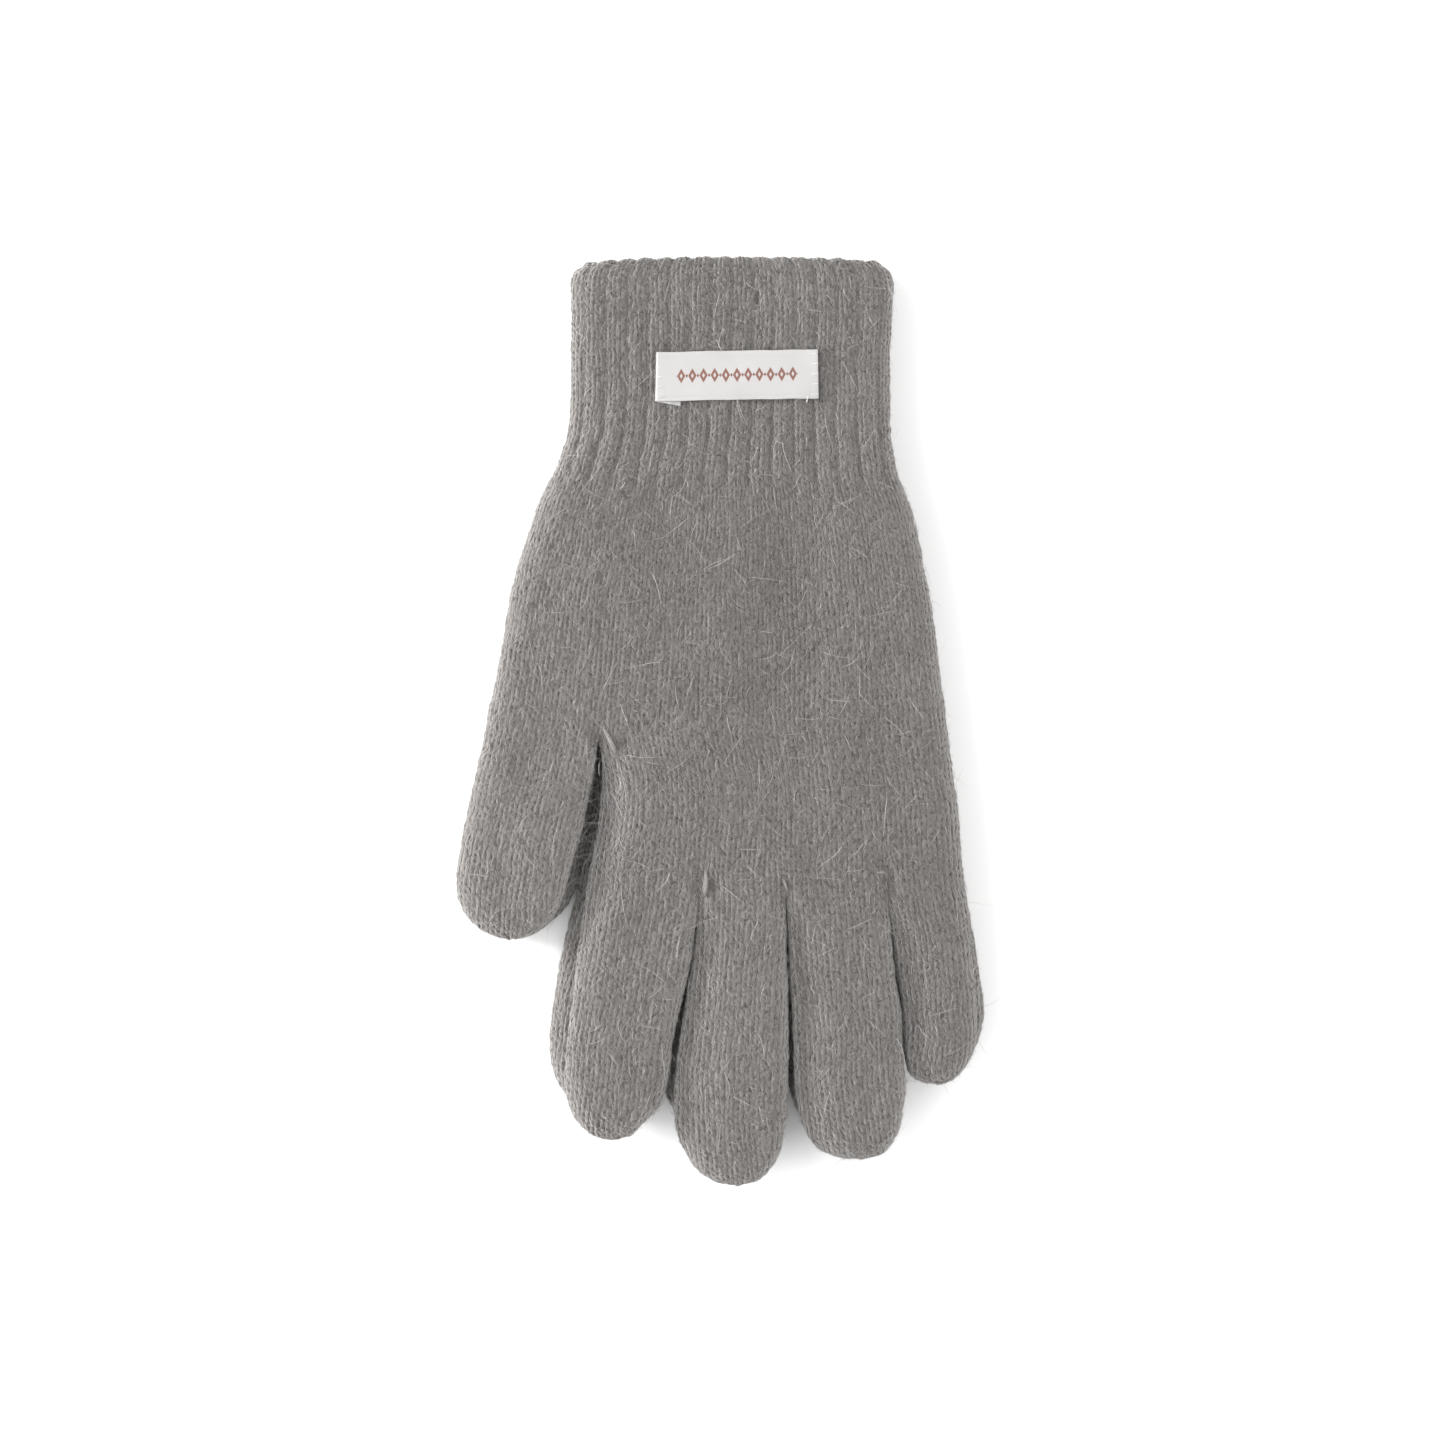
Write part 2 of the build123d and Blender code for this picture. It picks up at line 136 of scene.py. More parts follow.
# ------------------------------------------------------------------ flat knitted tubes
def profile(left, right, half, axl, azl, axr, azr):
    """The upper half of each row's cross-section: distance along the row and height over the middle, densely."""
    w = np.linalg.norm(right - left, axis=1)
    k = np.minimum(1, 0.499 * w / np.maximum(axl, 1e-6))
    axl = axl * k
    axr = np.minimum(axr, 0.499 * w)
    azl, azr = np.minimum(azl, half), np.minimum(azr, half)
    th = np.linspace(0, math.pi / 2, 40)
    n = 2.15
    cx, sz = np.abs(np.cos(th)) ** (2 / n), np.abs(np.sin(th)) ** (2 / n)
    wall_l = np.linspace(0, 1, 12)[None, :-1] * (half - azl)[:, None]
    wall_r = np.linspace(1, 0, 12)[None, 1:] * (half - azr)[:, None]
    xl = axl[:, None] * (1 - cx)[None, :]
    zl = (half - azl)[:, None] + azl[:, None] * sz[None, :]
    f = np.linspace(0, 1, 160)[None, 1:-1]
    xm = axl[:, None] + (w - axl - axr)[:, None] * f
    zm = np.repeat(half[:, None], 158, 1)
    xr = (w - axr)[:, None] + axr[:, None] * sz[None, :]
    zr = (half - azr)[:, None] + azr[:, None] * cx[None, :]
    x = np.concatenate([np.zeros_like(wall_l), xl, xm, xr, np.repeat(w[:, None], wall_r.shape[1], 1)], 1)
    z = np.concatenate([wall_l, zl, zm, zr, wall_r], 1)
    a = np.concatenate([np.zeros((len(w), 1)), np.cumsum(np.hypot(np.diff(x, axis=1), np.diff(z, axis=1)), 1)], 1)
    corner = a[:, wall_l.shape[1] + 39]     # arc at the top of the left rim
    return x, z, a, corner


def tube(left, right, zmid, half, rims, marks=None, counts=None):
    """Rows of a flat tube: (top, bottom) arrays of points, the arc coordinate of each column and the rim corner."""
    axl, azl, axr, azr = rims
    x, z, a, corner = profile(left, right, half, axl, azl, axr, azr)
    total = a[:, -1]
    if marks is None:
        marks = [np.zeros(len(total)), total]
    else:
        marks = [np.zeros(len(total))] + [m(total, corner) for m in marks] + [total]
    arcs = []
    for k, c in enumerate(counts):
        f = np.linspace(0, 1, c + 1)[None, (0 if k == 0 else 1):]
        arcs.append(marks[k][:, None] + (marks[k + 1] - marks[k])[:, None] * f)
    arcs = np.concatenate(arcs, 1)
    xs = np.stack([np.interp(arcs[r], a[r], x[r]) for r in range(len(total))])
    zs = np.stack([np.interp(arcs[r], a[r], z[r]) for r in range(len(total))])
    w = np.linalg.norm(right - left, axis=1)
    d = (right - left) / np.maximum(w, 1e-9)[:, None]
    top = np.stack([left[:, 0:1] + d[:, 0:1] * xs, left[:, 1:2] + d[:, 1:2] * xs, zmid[:, None] + zs], 2)
    bottom = top.copy()
    bottom[:, :, 2] = zmid[:, None] - zs
    return top, bottom, arcs, corner


class Fabric:
    """Grid patches gathered into one welded mesh, with knit coordinates (wale, course, rib) at each point."""

    def __init__(self):
        self.co, self.kn, self.quads, self.n = [], [], [], 0

    def patch(self, grid, u, v, rib, flip=False):
        rows, cols = grid.shape[:2]
        idx = np.arange(rows * cols).reshape(rows, cols) + self.n
        q = np.stack([idx[:-1, :-1], idx[1:, :-1], idx[1:, 1:], idx[:-1, 1:]], -1).reshape(-1, 4)
        self.quads.append(q[:, ::-1] if flip else q)
        self.co.append(grid.reshape(-1, 3))
        k = np.zeros((rows, cols, 3))
        k[..., 0], k[..., 1], k[..., 2] = u, v, rib
        self.kn.append(k.reshape(-1, 3))
        self.n += rows * cols

    def weld(self):
        co, kn, quads = np.concatenate(self.co), np.concatenate(self.kn), np.concatenate(self.quads)
        key = np.round(co * 500).astype(np.int64)
        _, first, inverse = np.unique(key, axis=0, return_index=True, return_inverse=True)
        inverse = inverse.reshape(-1)
        co, kn, quads = co[first], kn[first], inverse[quads]
        same = (quads[:, 0] == quads[:, 1]) | (quads[:, 1] == quads[:, 2]) | (quads[:, 2] == quads[:, 3]) | (quads[:, 3] == quads[:, 0])
        good = quads[~same]
        tris = []
        for q in quads[same]:
            t = [int(q[0])]
            for i in q[1:]:
                if int(i) != t[-1]:
                    t.append(int(i))
            if t[0] == t[-1]:
                t.pop()
            if len(t) == 3 and len(set(t)) == 3:
                tris.append(t)
        return co, kn, good, np.array(tris, int).reshape(-1, 3)


def normals(co, quads, tris):
    n = np.zeros_like(co)
    if len(quads):
        a = np.cross(co[quads[:, 2]] - co[quads[:, 0]], co[quads[:, 3]] - co[quads[:, 1]])
        for k in range(4):
            for c in range(3):
                n[:, c] += np.bincount(quads[:, k], a[:, c], len(co))
    if len(tris):
        a = np.cross(co[tris[:, 1]] - co[tris[:, 0]], co[tris[:, 2]] - co[tris[:, 0]])
        for k in range(3):
            for c in range(3):
                n[:, c] += np.bincount(tris[:, k], a[:, c], len(co))
    return n / np.maximum(np.linalg.norm(n, axis=1), 1e-12)[:, None]


def rib_map(lin, rho):
    """Wale coordinate and rib height from a linear wale count; in the rib the purl wale is pinched into a groove."""
    phi = lin / 3.0 - np.round(lin / 3.0)            # -0.5..0.5, purl centred on 0
    w = 1 / 3 + (0.15 - 1 / 3) * rho
    a = np.abs(phi)
    inner = np.where(a < w / 2, a / w, 0.5 + (a - w / 2) / (0.5 - w / 2))
    u = 3 * np.round(lin / 3.0) + np.sign(phi) * inner
    groove = np.exp(-((a / 0.18) ** 2))
    crown = np.cos((a - 0.5) * math.pi * 1.1)
    return u, rho * (-0.43 * groove + 0.06 * crown)


def relief(kn):
    """Height of the stitches, 0 to 1: two slanting legs to a stitch, with a pit between the legs and between rows."""
    u, v = kn[:, 0], kn[:, 1]
    s = u - np.round(u)
    a = np.abs(s) * 2
    p = v + 0.95 * a
    q = p - np.floor(p)
    g = 1 - (2 * q - 1) ** 2
    f = 1 - (2 * a - 1) ** 2
    return 0.50 * np.sqrt(np.clip(f, 0, 1)) + 0.28 * g + 0.22 - 0.35 * (1 - f) ** 2 * (1 - g) ** 2


def make(name, co, quads, tris, attrs, material, smooth=True):
    me = bpy.data.meshes.new(name)
    faces_n = len(quads) + len(tris)
    me.vertices.add(len(co))
    me.vertices.foreach_set("co", (co * MM).astype(np.float32).ravel())
    loops = np.concatenate([quads.reshape(-1), tris.reshape(-1)]).astype(np.int32)
    me.loops.add(len(loops))
    me.loops.foreach_set("vertex_index", loops)
    me.polygons.add(faces_n)
    starts = np.concatenate([np.arange(len(quads)) * 4, len(quads) * 4 + np.arange(len(tris)) * 3]).astype(np.int32)
    me.polygons.foreach_set("loop_start", starts)
    me.polygons.foreach_set("use_smooth", np.full(faces_n, smooth))
    me.update(calc_edges=True)
    me.validate()
    for key, values in attrs.items():
        at = me.attributes.new(key, "FLOAT_VECTOR", "POINT")
        at.data.foreach_set("vector", values.astype(np.float32).ravel())
    ob = bpy.data.objects.new(name, me)
    bpy.context.scene.collection.objects.link(ob)
    me.materials.append(material)
    return ob


# ------------------------------------------------------------------ materials
class Nodes:
    """A small helper for writing node graphs as formulas."""

    def __init__(self, mat):
        mat.use_nodes = True
        self.t = mat.node_tree
        self.t.nodes.clear()
        self.out = self.t.nodes.new("ShaderNodeOutputMaterial")

    def new(self, kind, **props):
        n = self.t.nodes.new(kind)
        for k, v in props.items():
            setattr(n, k, v)
        return n

    def put(self, socket, value):
        if isinstance(value, bpy.types.NodeSocket):
            self.t.links.new(value, socket)
        else:
            socket.default_value = value

    def m(self, op, a, b=0.0, c=0.0, clamp=False):
        n = self.new("ShaderNodeMath", operation=op, use_clamp=clamp)
        self.put(n.inputs[0], a)
        self.put(n.inputs[1], b)
        if len(n.inputs) > 2:
            self.put(n.inputs[2], c)
        return n.outputs[0]

    def attribute(self, name):
        n = self.new("ShaderNodeAttribute", attribute_name=name, attribute_type="GEOMETRY")
        s = self.new("ShaderNodeSeparateXYZ")
        self.t.links.new(n.outputs["Vector"], s.inputs[0])
        return n.outputs["Vector"], s.outputs[0], s.outputs[1], s.outputs[2]

    def vec(self, x, y, z=0.0):
        n = self.new("ShaderNodeCombineXYZ")
        for s, v in zip(n.inputs, (x, y, z)):
            self.put(s, v)
        return n.outputs[0]

    def noise(self, vector, scale, detail=2.0, rough=0.5, distort=0.0):
        n = self.new("ShaderNodeTexNoise")
        self.put(n.inputs["Vector"], vector)
        n.inputs["Scale"].default_value = scale
        n.inputs["Detail"].default_value = detail
        n.inputs["Roughness"].default_value = rough
        n.inputs["Distortion"].default_value = distort
        return n.outputs["Fac"]

    def mix(self, fac, a, b):
        n = self.new("ShaderNodeMix", data_type="RGBA")
        self.put(n.inputs[0], fac)
        self.put(n.inputs[6], a)
        self.put(n.inputs[7], b)
        return n.outputs[2]

    def scale(self, color, factor):
        n = self.new("ShaderNodeVectorMath", operation="SCALE")
        self.put(n.inputs[0], color)
        self.put(n.inputs["Scale"], factor)
        return n.outputs[0]

    def bump(self, height, distance, strength=1.0, normal=None):
        n = self.new("ShaderNodeBump")
        self.put(n.inputs["Height"], height)
        n.inputs["Distance"].default_value = distance
        n.inputs["Strength"].default_value = strength
        if normal is not None:
            self.put(n.inputs["Normal"], normal)
        return n.outputs[0]

    def surface(self, color, rough, normal=None, sheen=0.0, specular=0.3, subsurface=0.0):
        b = self.new("ShaderNodeBsdfPrincipled")
        self.put(b.inputs["Base Color"], color)
        self.put(b.inputs["Roughness"], rough)
        b.inputs["Specular IOR Level"].default_value = specular
        b.inputs["Sheen Weight"].default_value = sheen
        b.inputs["Sheen Roughness"].default_value = 0.38
        b.inputs["Sheen Tint"].default_value = (0.9, 0.87, 0.85, 1)
        if normal is not None:
            self.put(b.inputs["Normal"], normal)
        self.t.links.new(b.outputs[0], self.out.inputs["Surface"])
        return b


WOOL = (0.1600, 0.1511, 0.1444, 1)


def knit_material(name, tone=1.0, brushed=False):
    mat = bpy.data.materials.new(name)
    g = Nodes(mat)
    _, u, v, rib = g.attribute("knit")
    rest, rx, ry, rz = g.attribute("rest")
    # stitch coordinates: a runs from the middle of a wale to its edge, p along the slanted legs
    s = g.m("SUBTRACT", u, g.m("ROUND", u))
    a = g.m("MULTIPLY", g.m("ABSOLUTE", s), 2.0)
    p = g.m("ADD", v, g.m("MULTIPLY", a, 0.95))
    q2 = g.m("SUBTRACT", g.m("MULTIPLY", g.m("FRACT", p), 2.0), 1.0)
    between = g.m("MULTIPLY", q2, q2)
    c = g.m("SUBTRACT", g.m("MULTIPLY", a, 2.0), 1.0)
    edge = g.m("MULTIPLY", c, c)
    # brushed wool covers the stitches unevenly
    cover = g.noise(rest, 0.42, 3.0, 0.6, 0.5)
    bare = g.m("MULTIPLY", g.m("SUBTRACT", 0.74, cover), 3.2, clamp=True)
    line = 0.06 if brushed else 0.18
    # painted shade: the pits between the legs and between rows are darkened in the colour below, on top of the bump
    pit = g.m("MULTIPLY", g.m("MULTIPLY", g.m("POWER", edge, 1.3), g.m("ADD", line, g.m("MULTIPLY", between, 1 - line))), bare)
    # openings between stitches, also darkened in the colour below as painted shade
    hole_shade_noise = g.noise(g.vec(g.m("MULTIPLY", u, 1.9), g.m("MULTIPLY", v, 1.15), g.m("MULTIPLY", rz, 0.3)), 1.0, 2.0, 0.6, 0.5)
    hole = g.m("MULTIPLY", g.m("SUBTRACT", hole_shade_noise, 0.53), 4.5, clamp=True)
    # fibres drawn out along the legs to either side, in thin light strands
    x, y = (rx, ry) if brushed else (g.m("MULTIPLY", u, 2.52), g.m("MULTIPLY", v, 1.73))
    strands_ = None
    for k, (turn, wide, long_) in enumerate(((36, 2.5, 0.70), (-38, 2.4, 0.66), (6, 2.6, 0.62)) if brushed else ((25, 2.6, 0.64), (-27, 2.4, 0.60), (4, 3.0, 0.52))):
        cs, sn = math.cos(math.radians(turn)), math.sin(math.radians(turn))
        sx = g.m("ADD", g.m("MULTIPLY", x, cs * wide), g.m("MULTIPLY", y, -sn * wide))
        sy = g.m("ADD", g.m("MULTIPLY", x, sn * long_), g.m("MULTIPLY", y, cs * long_))
        n = g.noise(g.vec(sx, sy, g.m("ADD", g.m("MULTIPLY", rz, 0.3), 7.0 * k)), 1.0, 1.5, 0.5, 0.35)
        strands_ = n if strands_ is None else g.m("MAXIMUM", strands_, n)
    fibre = g.m("MULTIPLY", g.m("SUBTRACT", strands_, 0.50), 3.0, clamp=True)
    loose = g.noise(rest, 1.9, 3.0, 0.7, 1.4)
    fine = g.noise(rest, 6.0, 2.0, 0.6, 0.6)
    cloud = g.noise(rest, 0.075, 3.0, 0.55)
    # painted shade in the stitch pits and openings
    tonev = g.m("SUBTRACT", 1.0, g.m("MULTIPLY", pit, 0.85 if brushed else 0.95))
    tonev = g.m("SUBTRACT", tonev, g.m("MULTIPLY", hole, 0.60))
    tonev = g.m("ADD", tonev, g.m("MULTIPLY", fibre, 0.66))
    tonev = g.m("MAXIMUM", tonev, 0.25)
    tonev = g.m("MULTIPLY", tonev, g.m("ADD", 0.20, g.m("MULTIPLY", loose, 1.40)))
    tonev = g.m("MULTIPLY", tonev, g.m("ADD", 0.75, g.m("MULTIPLY", fine, 0.5)))
    tonev = g.m("MULTIPLY", tonev, g.m("ADD", 0.80, g.m("MULTIPLY", cloud, 0.40)))
    # painted light: the fingers are made up to 1% lighter than the palm
    tonev = g.m("MULTIPLY", tonev, g.m("ADD", 0.985, g.m("MULTIPLY", g.m("DIVIDE", g.m("SUBTRACT", -40.0, ry), 25.0, clamp=True), 0.01)))
    # painted light and shade: soft patches darken the palm right of its middle and the little finger, and lighten the
    # thumb, the middle finger and the left of the hand
    for cx, cy, wx, wy, painted_light_gain in ((20, 22, 17, 38, -0.075), (3, -84, 10, 32, 0.10), (-48, -22, 14, 32, 0.075), (54, -64, 9, 26, -0.05), (-40, 30, 14, 32, 0.045)):
        dx, dy = g.m("DIVIDE", g.m("SUBTRACT", rx, cx), wx), g.m("DIVIDE", g.m("SUBTRACT", ry, cy), wy)
        near = g.m("POWER", 2.718, g.m("MULTIPLY", g.m("ADD", g.m("MULTIPLY", dx, dx), g.m("MULTIPLY", dy, dy)), -1.0))
        tonev = g.m("MULTIPLY", tonev, g.m("ADD", 1.0, g.m("MULTIPLY", near, painted_light_gain)))
    tonev = g.m("MULTIPLY", tonev, tone)
    warm = g.mix(g.m("MULTIPLY", loose, 1.0, clamp=True), WOOL, (WOOL[0] * 1.03, WOOL[1] * 1.0, WOOL[2] * 0.97, 1))
    color = g.scale(warm, tonev)
    h = g.m("SUBTRACT", g.m("ADD", g.m("MULTIPLY", fibre, 0.55), g.m("MULTIPLY", loose, 0.6)), g.m("MULTIPLY", pit, 0.7))
    h = g.m("SUBTRACT", g.m("ADD", h, g.m("MULTIPLY", fine, 0.25)), g.m("MULTIPLY", hole, 0.6))
    normal = g.bump(h, 0.0008, 1.0)
    g.surface(color, g.m("ADD", 0.82, g.m("MULTIPLY", fine, 0.15)), normal, sheen=1.0, specular=0.12)
    return mat


def plain_material(name, color, rough=0.8, sheen=0.2):
    mat = bpy.data.materials.new(name)
    g = Nodes(mat)
    g.surface(color, rough, None, sheen=sheen, specular=0.2)
    return mat


KNIT = knit_material("wool_stockinette")
RIB = knit_material("wool_rib", 1.0, True)
FUZZ = plain_material("wool_fibre", (0.27, 0.256, 0.245, 1), 0.7, 0.3)
GUARD = plain_material("wool_guard_hair", (0.47, 0.455, 0.44, 1), 0.6, 0.2)

# ------------------------------------------------------------------ the gloves
LOW = {"upper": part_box("upper_hand")[0].z / MM, "lower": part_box("lower_hand")[0].z / MM}
HIGH = {"upper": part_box("upper_hand")[1].z / MM, "lower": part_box("lower_hand")[1].z / MM}
AMP = 0.46                      # height of a stitch
RIM = 6.6                       # reach of the rolled side edges
RIM_F = 9.0                     # the same on the fingers and thumb
SOFT, CRISP = 12.5, 4.2         # where the upper fingers meet: one side falls away softly, its neighbour's stays full


def lay(side, co, kn, quads, tris, extra=None):
    """Soft undulation, dimples and stitches on a welded base mesh."""
    base = normals(co, quads, tris)
    seed = 5 if side == "upper" else 11
    x, y = co[:, 0], co[:, 1]
    zmid = (LOW[side] + HIGH[side]) / 2
    soft = 0.42 * noise(x / 17, y / 21, seed) + 0.26 * noise(x / 7, y / 8, seed + 1)
    flat = np.clip(np.abs(base[:, 2]), 0, 1)
    up = np.where(co[:, 2] > zmid, 1.0, -0.25)
    co = co.copy()
    co[:, 2] += soft * flat * np.abs(up)
    co[:, 0] += 0.22 * noise(x / 11, y / 9, seed + 2) * (1 - flat)
    if extra is not None:
        co[:, 2] += extra(x, y, co[:, 2]) * flat
    h = relief(kn) - 0.62
    amp = AMP * (1 + 0.45 * noise(x / 2.2, y / 2.6, seed + 3))
    fluff = 0.16 * noise(x / 1.3 + co[:, 2] / 2, y / 1.5, seed + 4) + 0.10 * noise(x / 0.62, y / 0.8 + co[:, 2], seed + 5)
    co = co + base * (h * amp + fluff)[:, None]
    return co, base


def worn(side, co, kn):
    """Knit coordinates pulled about a little, as brushed wool lies unevenly."""
    seed = 31 if side == "upper" else 47
    kn = kn.copy()
    x, y, z = co[:, 0], co[:, 1], co[:, 2]
    kn[:, 1] += 0.30 * noise(x / 2.9 + z / 3, y / 3.3, seed) + 0.5 * noise(x / 13, y / 15, seed + 1)
    kn[:, 0] += 0.10 * noise(x / 2.3 + z / 3, y / 2.7, seed + 2) + 0.14 * noise(x / 9, y / 8, seed + 3)
    return kn


def dents(side):
    """Soft dimples in the upper surface: the crotches, and a few where the wool is pressed."""
    spots = [(-29.6, -5.6, 2.2, 4.5, 1.0), (-4.9, -42.5, 2.4, 5.0, 0.9), (16.2, -44.0, 2.2, 5.0, 0.7), (41.2, -42.0, 2.4, 6.0, 1.0)]
    pressed = []                        # as spots, but leaving the underside where it is
    if side == "upper":
        spots += [(9.1, 103.8, 1.0, 1.6, 1.4), (-1.6, -41.0, 1.3, 2.4, 0.9), (20.0, 36.0, 12.0, 26.0, 1.3), (14.0, 4.0, 10.0, 16.0, 0.8), (-29.5, 38.0, 12.0, 18.0, -0.8)]
    else:
        pressed = [(-30.4, -12.0, 2.6, 6.0, 1.6), (-32.4, -24.0, 3.0, 7.0, 1.8), (-34.6, -37.0, 3.2, 7.0, 1.8), (-38.0, -48.0, 2.8, 5.0, 1.2)]

    def extra(x, y, z):
        zmid = (LOW[side] + HIGH[side]) / 2
        up = np.where(z > zmid, 1.0, -1.0)
        d = np.zeros_like(x)
        for cx, cy, sx, sy, depth in spots:
            d -= depth * np.exp(-(((x - cx) / sx) ** 2) - (((y - cy) / sy) ** 2))
        d *= np.where(up > 0, 1.0, -0.7)
        for cx, cy, sx, sy, depth in pressed:
            d -= np.where(up > 0, depth, -0.15 * depth) * np.exp(-(((x - cx) / sx) ** 2) - (((y - cy) / sy) ** 2))
        if side == "lower":
            # the label beneath the lower cuff presses its own flat place into the rib
            over = ease((24.5 - np.abs(x - 4.2)) / 4.0) * ease((10.5 - np.abs(y - 84.9)) / 4.0)
            d += np.where(up > 0, 0.0, 1.15) * over
        return d
    return extra


def build_glove(side):
    zlo, zhi = LOW[side], HIGH[side]
    out = {}
    half0 = (zhi - zlo) / 2 - 0.32
    mid0 = (zlo + zhi) / 2

    # rows of the hand, wrist to thumb root, all columns
    ra = int(round(62.0 / STEP))
    rb = int(round(35.5 / STEP))
    n1 = int(round(31.0 / STEP))
    n2 = int(round(94.0 / STEP))
    nw = int(round(7.0 / STEP))
    la = curve(HAND_LEFT, ra + 1)
    # the right side's rows are matched by height
    ys = np.concatenate([np.linspace(Y_WRIST, -3.4, ra + 1), np.linspace(-3.4, Y_FING, rb + 1)[1:]])
    dense = curve(HAND_RIGHT, 600)
    right = np.stack([np.interp(-ys, -dense[:, 1], dense[:, 0]), ys], 1)
    innerd = curve(HAND_INNER if side == "upper" else HAND_INNER_LOW, 400)
    li = np.stack([np.interp(-ys[ra:], -innerd[:, 1], innerd[:, 0]), ys[ra:]], 1)

    one = np.ones(ra + 1)
    t = np.linspace(0, 1, ra + 1)
    rims = (RIM * one, half0 * one, RIM * one, half0 * one)
    # the slanting root line of the thumb bends the last rows of the thumb's share
    crotch = np.array([-30.0, -3.4])
    xw, zw, aw, _ = profile(la[-1:], right[ra:ra + 1], np.array([half0]), *[r[-1:] for r in rims])
    fc = float(np.interp(crotch[0] - la[-1, 0], xw[0], aw[0]) / aw[0, -1])
    share = 0.25 + (fc - 0.25) * ease(t)
    top, bottom, arcs, _ = tube(la, right[:ra + 1], mid0 * one, half0 * one, rims,
                                [lambda total, corner: share * total], [n1, n2])
    # bend the rows: the thumb's share falls from the outer edge to the crotch
    for grid in (top, bottom):
        slope = ease(t)[:, None]
        x0, x1 = la[:, 0][:, None], grid[:, n1, 0][:, None]
        f = np.clip((grid[:, :, 0] - x0) / (x1 - x0), 0, 1)
        ytarget = la[:, 1][:, None] + (np.linspace(Y_WRIST, -3.4, ra + 1)[:, None] - la[:, 1][:, None]) * f
        yr = np.linspace(Y_WRIST, -3.4, ra + 1)[:, None]
        ycol = np.where(grid[:, :, 0] <= x1, ytarget, yr)
        grid[:, :, 1] = ycol
    spacing = np.linalg.norm(np.diff(top[:, (n1 + n2) // 2], axis=0), axis=1)
    va = np.r_[0, np.cumsum(spacing)] / COURSE
    ua = np.concatenate([np.linspace(0, THUMB_WALES, n1 + 1), np.linspace(THUMB_WALES, WALES, n2 + 1)[1:]])
    rho = ease((top[:, :, 1] - 54.0) / 8.0)
    uu = np.repeat(ua[None, :], ra + 1, 0)
    um, gr = rib_map(uu, rho)
    def sink(x, y, edge):
        """How far the rim beside the thumb drops, by height and by distance from the edge."""
        if side != "upper":
            return 0.0 * x
        return 2.3 * ease((-3.4 - y) / 11.0) * (1 - ease((-45.0 - y) / 16.0)) * np.exp(-(((x - edge) / 4.2) ** 2))

    hand = Fabric()
    for grid, flip in ((top, False), (bottom, True)):
        g2 = grid.copy()
        g2[:, :, 2] += gr * (1 if not flip else -1) * np.clip((np.abs(grid[:, :, 2] - mid0) / half0) * 1.4, 0, 1)
        hand.patch(g2, um, np.repeat(va[:, None], g2.shape[1], 1), rho, flip)

    # palm, thumb crotch to finger roots
    tb = np.linspace(0, 1, rb + 1)
    axl = 0.25 + (11.5 if side == "upper" else 9.2) * ease(tb / 0.62)
    azl = 0.25 + (half0 - 0.25) * ease(tb / 0.55)
    rimb = (axl, azl, np.full(rb + 1, RIM), np.full(rb + 1, half0))
    topb, bottomb, arcb, cornerb = tube(li, right[ra:], np.full(rb + 1, mid0), np.full(rb + 1, half0), rimb,
                                        [lambda total, corner: np.full_like(corner, corner[0])], [nw, n2])
    cornerb = np.full_like(cornerb, cornerb[0])
    topb[0, nw:] = top[-1, n1:]
    bottomb[0, nw:] = bottom[-1, n1:]
    spacing = np.linalg.norm(np.diff(topb[:, nw + n2 // 2], axis=0), axis=1)
    vb = va[-1] + np.r_[0, np.cumsum(spacing)] / COURSE
    ub = np.repeat(np.linspace(THUMB_WALES, WALES, n2 + 1)[None, :], rb + 1, 0)
    wall = THUMB_WALES - (cornerb[:, None] - arcb[:, :nw]) / WALE
    ub = np.concatenate([wall, ub], 1)
    ub[0, nw] = THUMB_WALES
    for grid, flip in ((topb, False), (bottomb, True)):
        grid[:, :, 2] -= sink(grid[:, :, 0], grid[:, :, 1], li[:, 0:1])
        hand.patch(grid, ub, np.repeat(vb[:, None], grid.shape[1], 1), 0.0, flip)
    out["hand"] = hand

    # thumb and fingers
    base_pitch = (arcb[-1, -1] - cornerb[-1]) / (WALES - THUMB_WALES)

    def finger(name, lp, rp, u_centre, v0, pitch0, left_outer, right_outer, rise=0.0, roll=0.0, first=None):
        length = max(np.linalg.norm(np.diff(np.array(lp), axis=0), axis=1).sum(), np.linalg.norm(np.diff(np.array(rp), axis=0), axis=1).sum())
        rows = int(round(length / STEP))
        l, r = curve(lp, rows + 1), curve(rp, rows + 1)
        mid = (l + r) / 2
        run = np.r_[0, np.cumsum(np.linalg.norm(np.diff(mid, axis=0), axis=1))]
        # a soft outline
        e = run[-1] - run
        cap = np.clip(1 - e / 7.5, 0, 1)
        half = half0 * np.sqrt(np.clip(1 - cap ** 2.2, 0, 1))
        grow = ease(run / 20.0)
        az_in = 0.25 + (half0 - 0.25) * grow
        near_l, near_r = (SOFT, CRISP) if side == "upper" else (RIM_F, RIM_F)
        ax_l, ax_r = 0.25 + (near_l - 0.25) * grow, 0.25 + (near_r - 0.25) * grow
        full, fz = RIM + (RIM_F - RIM) * grow, np.full(rows + 1, half0)
        if left_outer and name != "thumb":
            axl_, azl_ = axl[-1] + (RIM_F - axl[-1]) * grow, fz
        else:
            axl_, azl_ = (full, fz) if left_outer else (ax_l, az_in)
        axr_, azr_ = (full, fz) if right_outer else (ax_r, az_in)
        width = np.linalg.norm(r - l, axis=1)
        azl_, azr_ = np.minimum(azl_, half), np.minimum(azr_, half)
        peri = width.max() + 8
        nc = int(round(peri / STEP))
        zm = mid0 + rise * ease(run / 30.0)
        tp, bt, ar, _ = tube(l, r, zm, half, (axl_, azl_, axr_, azr_), None, [nc])
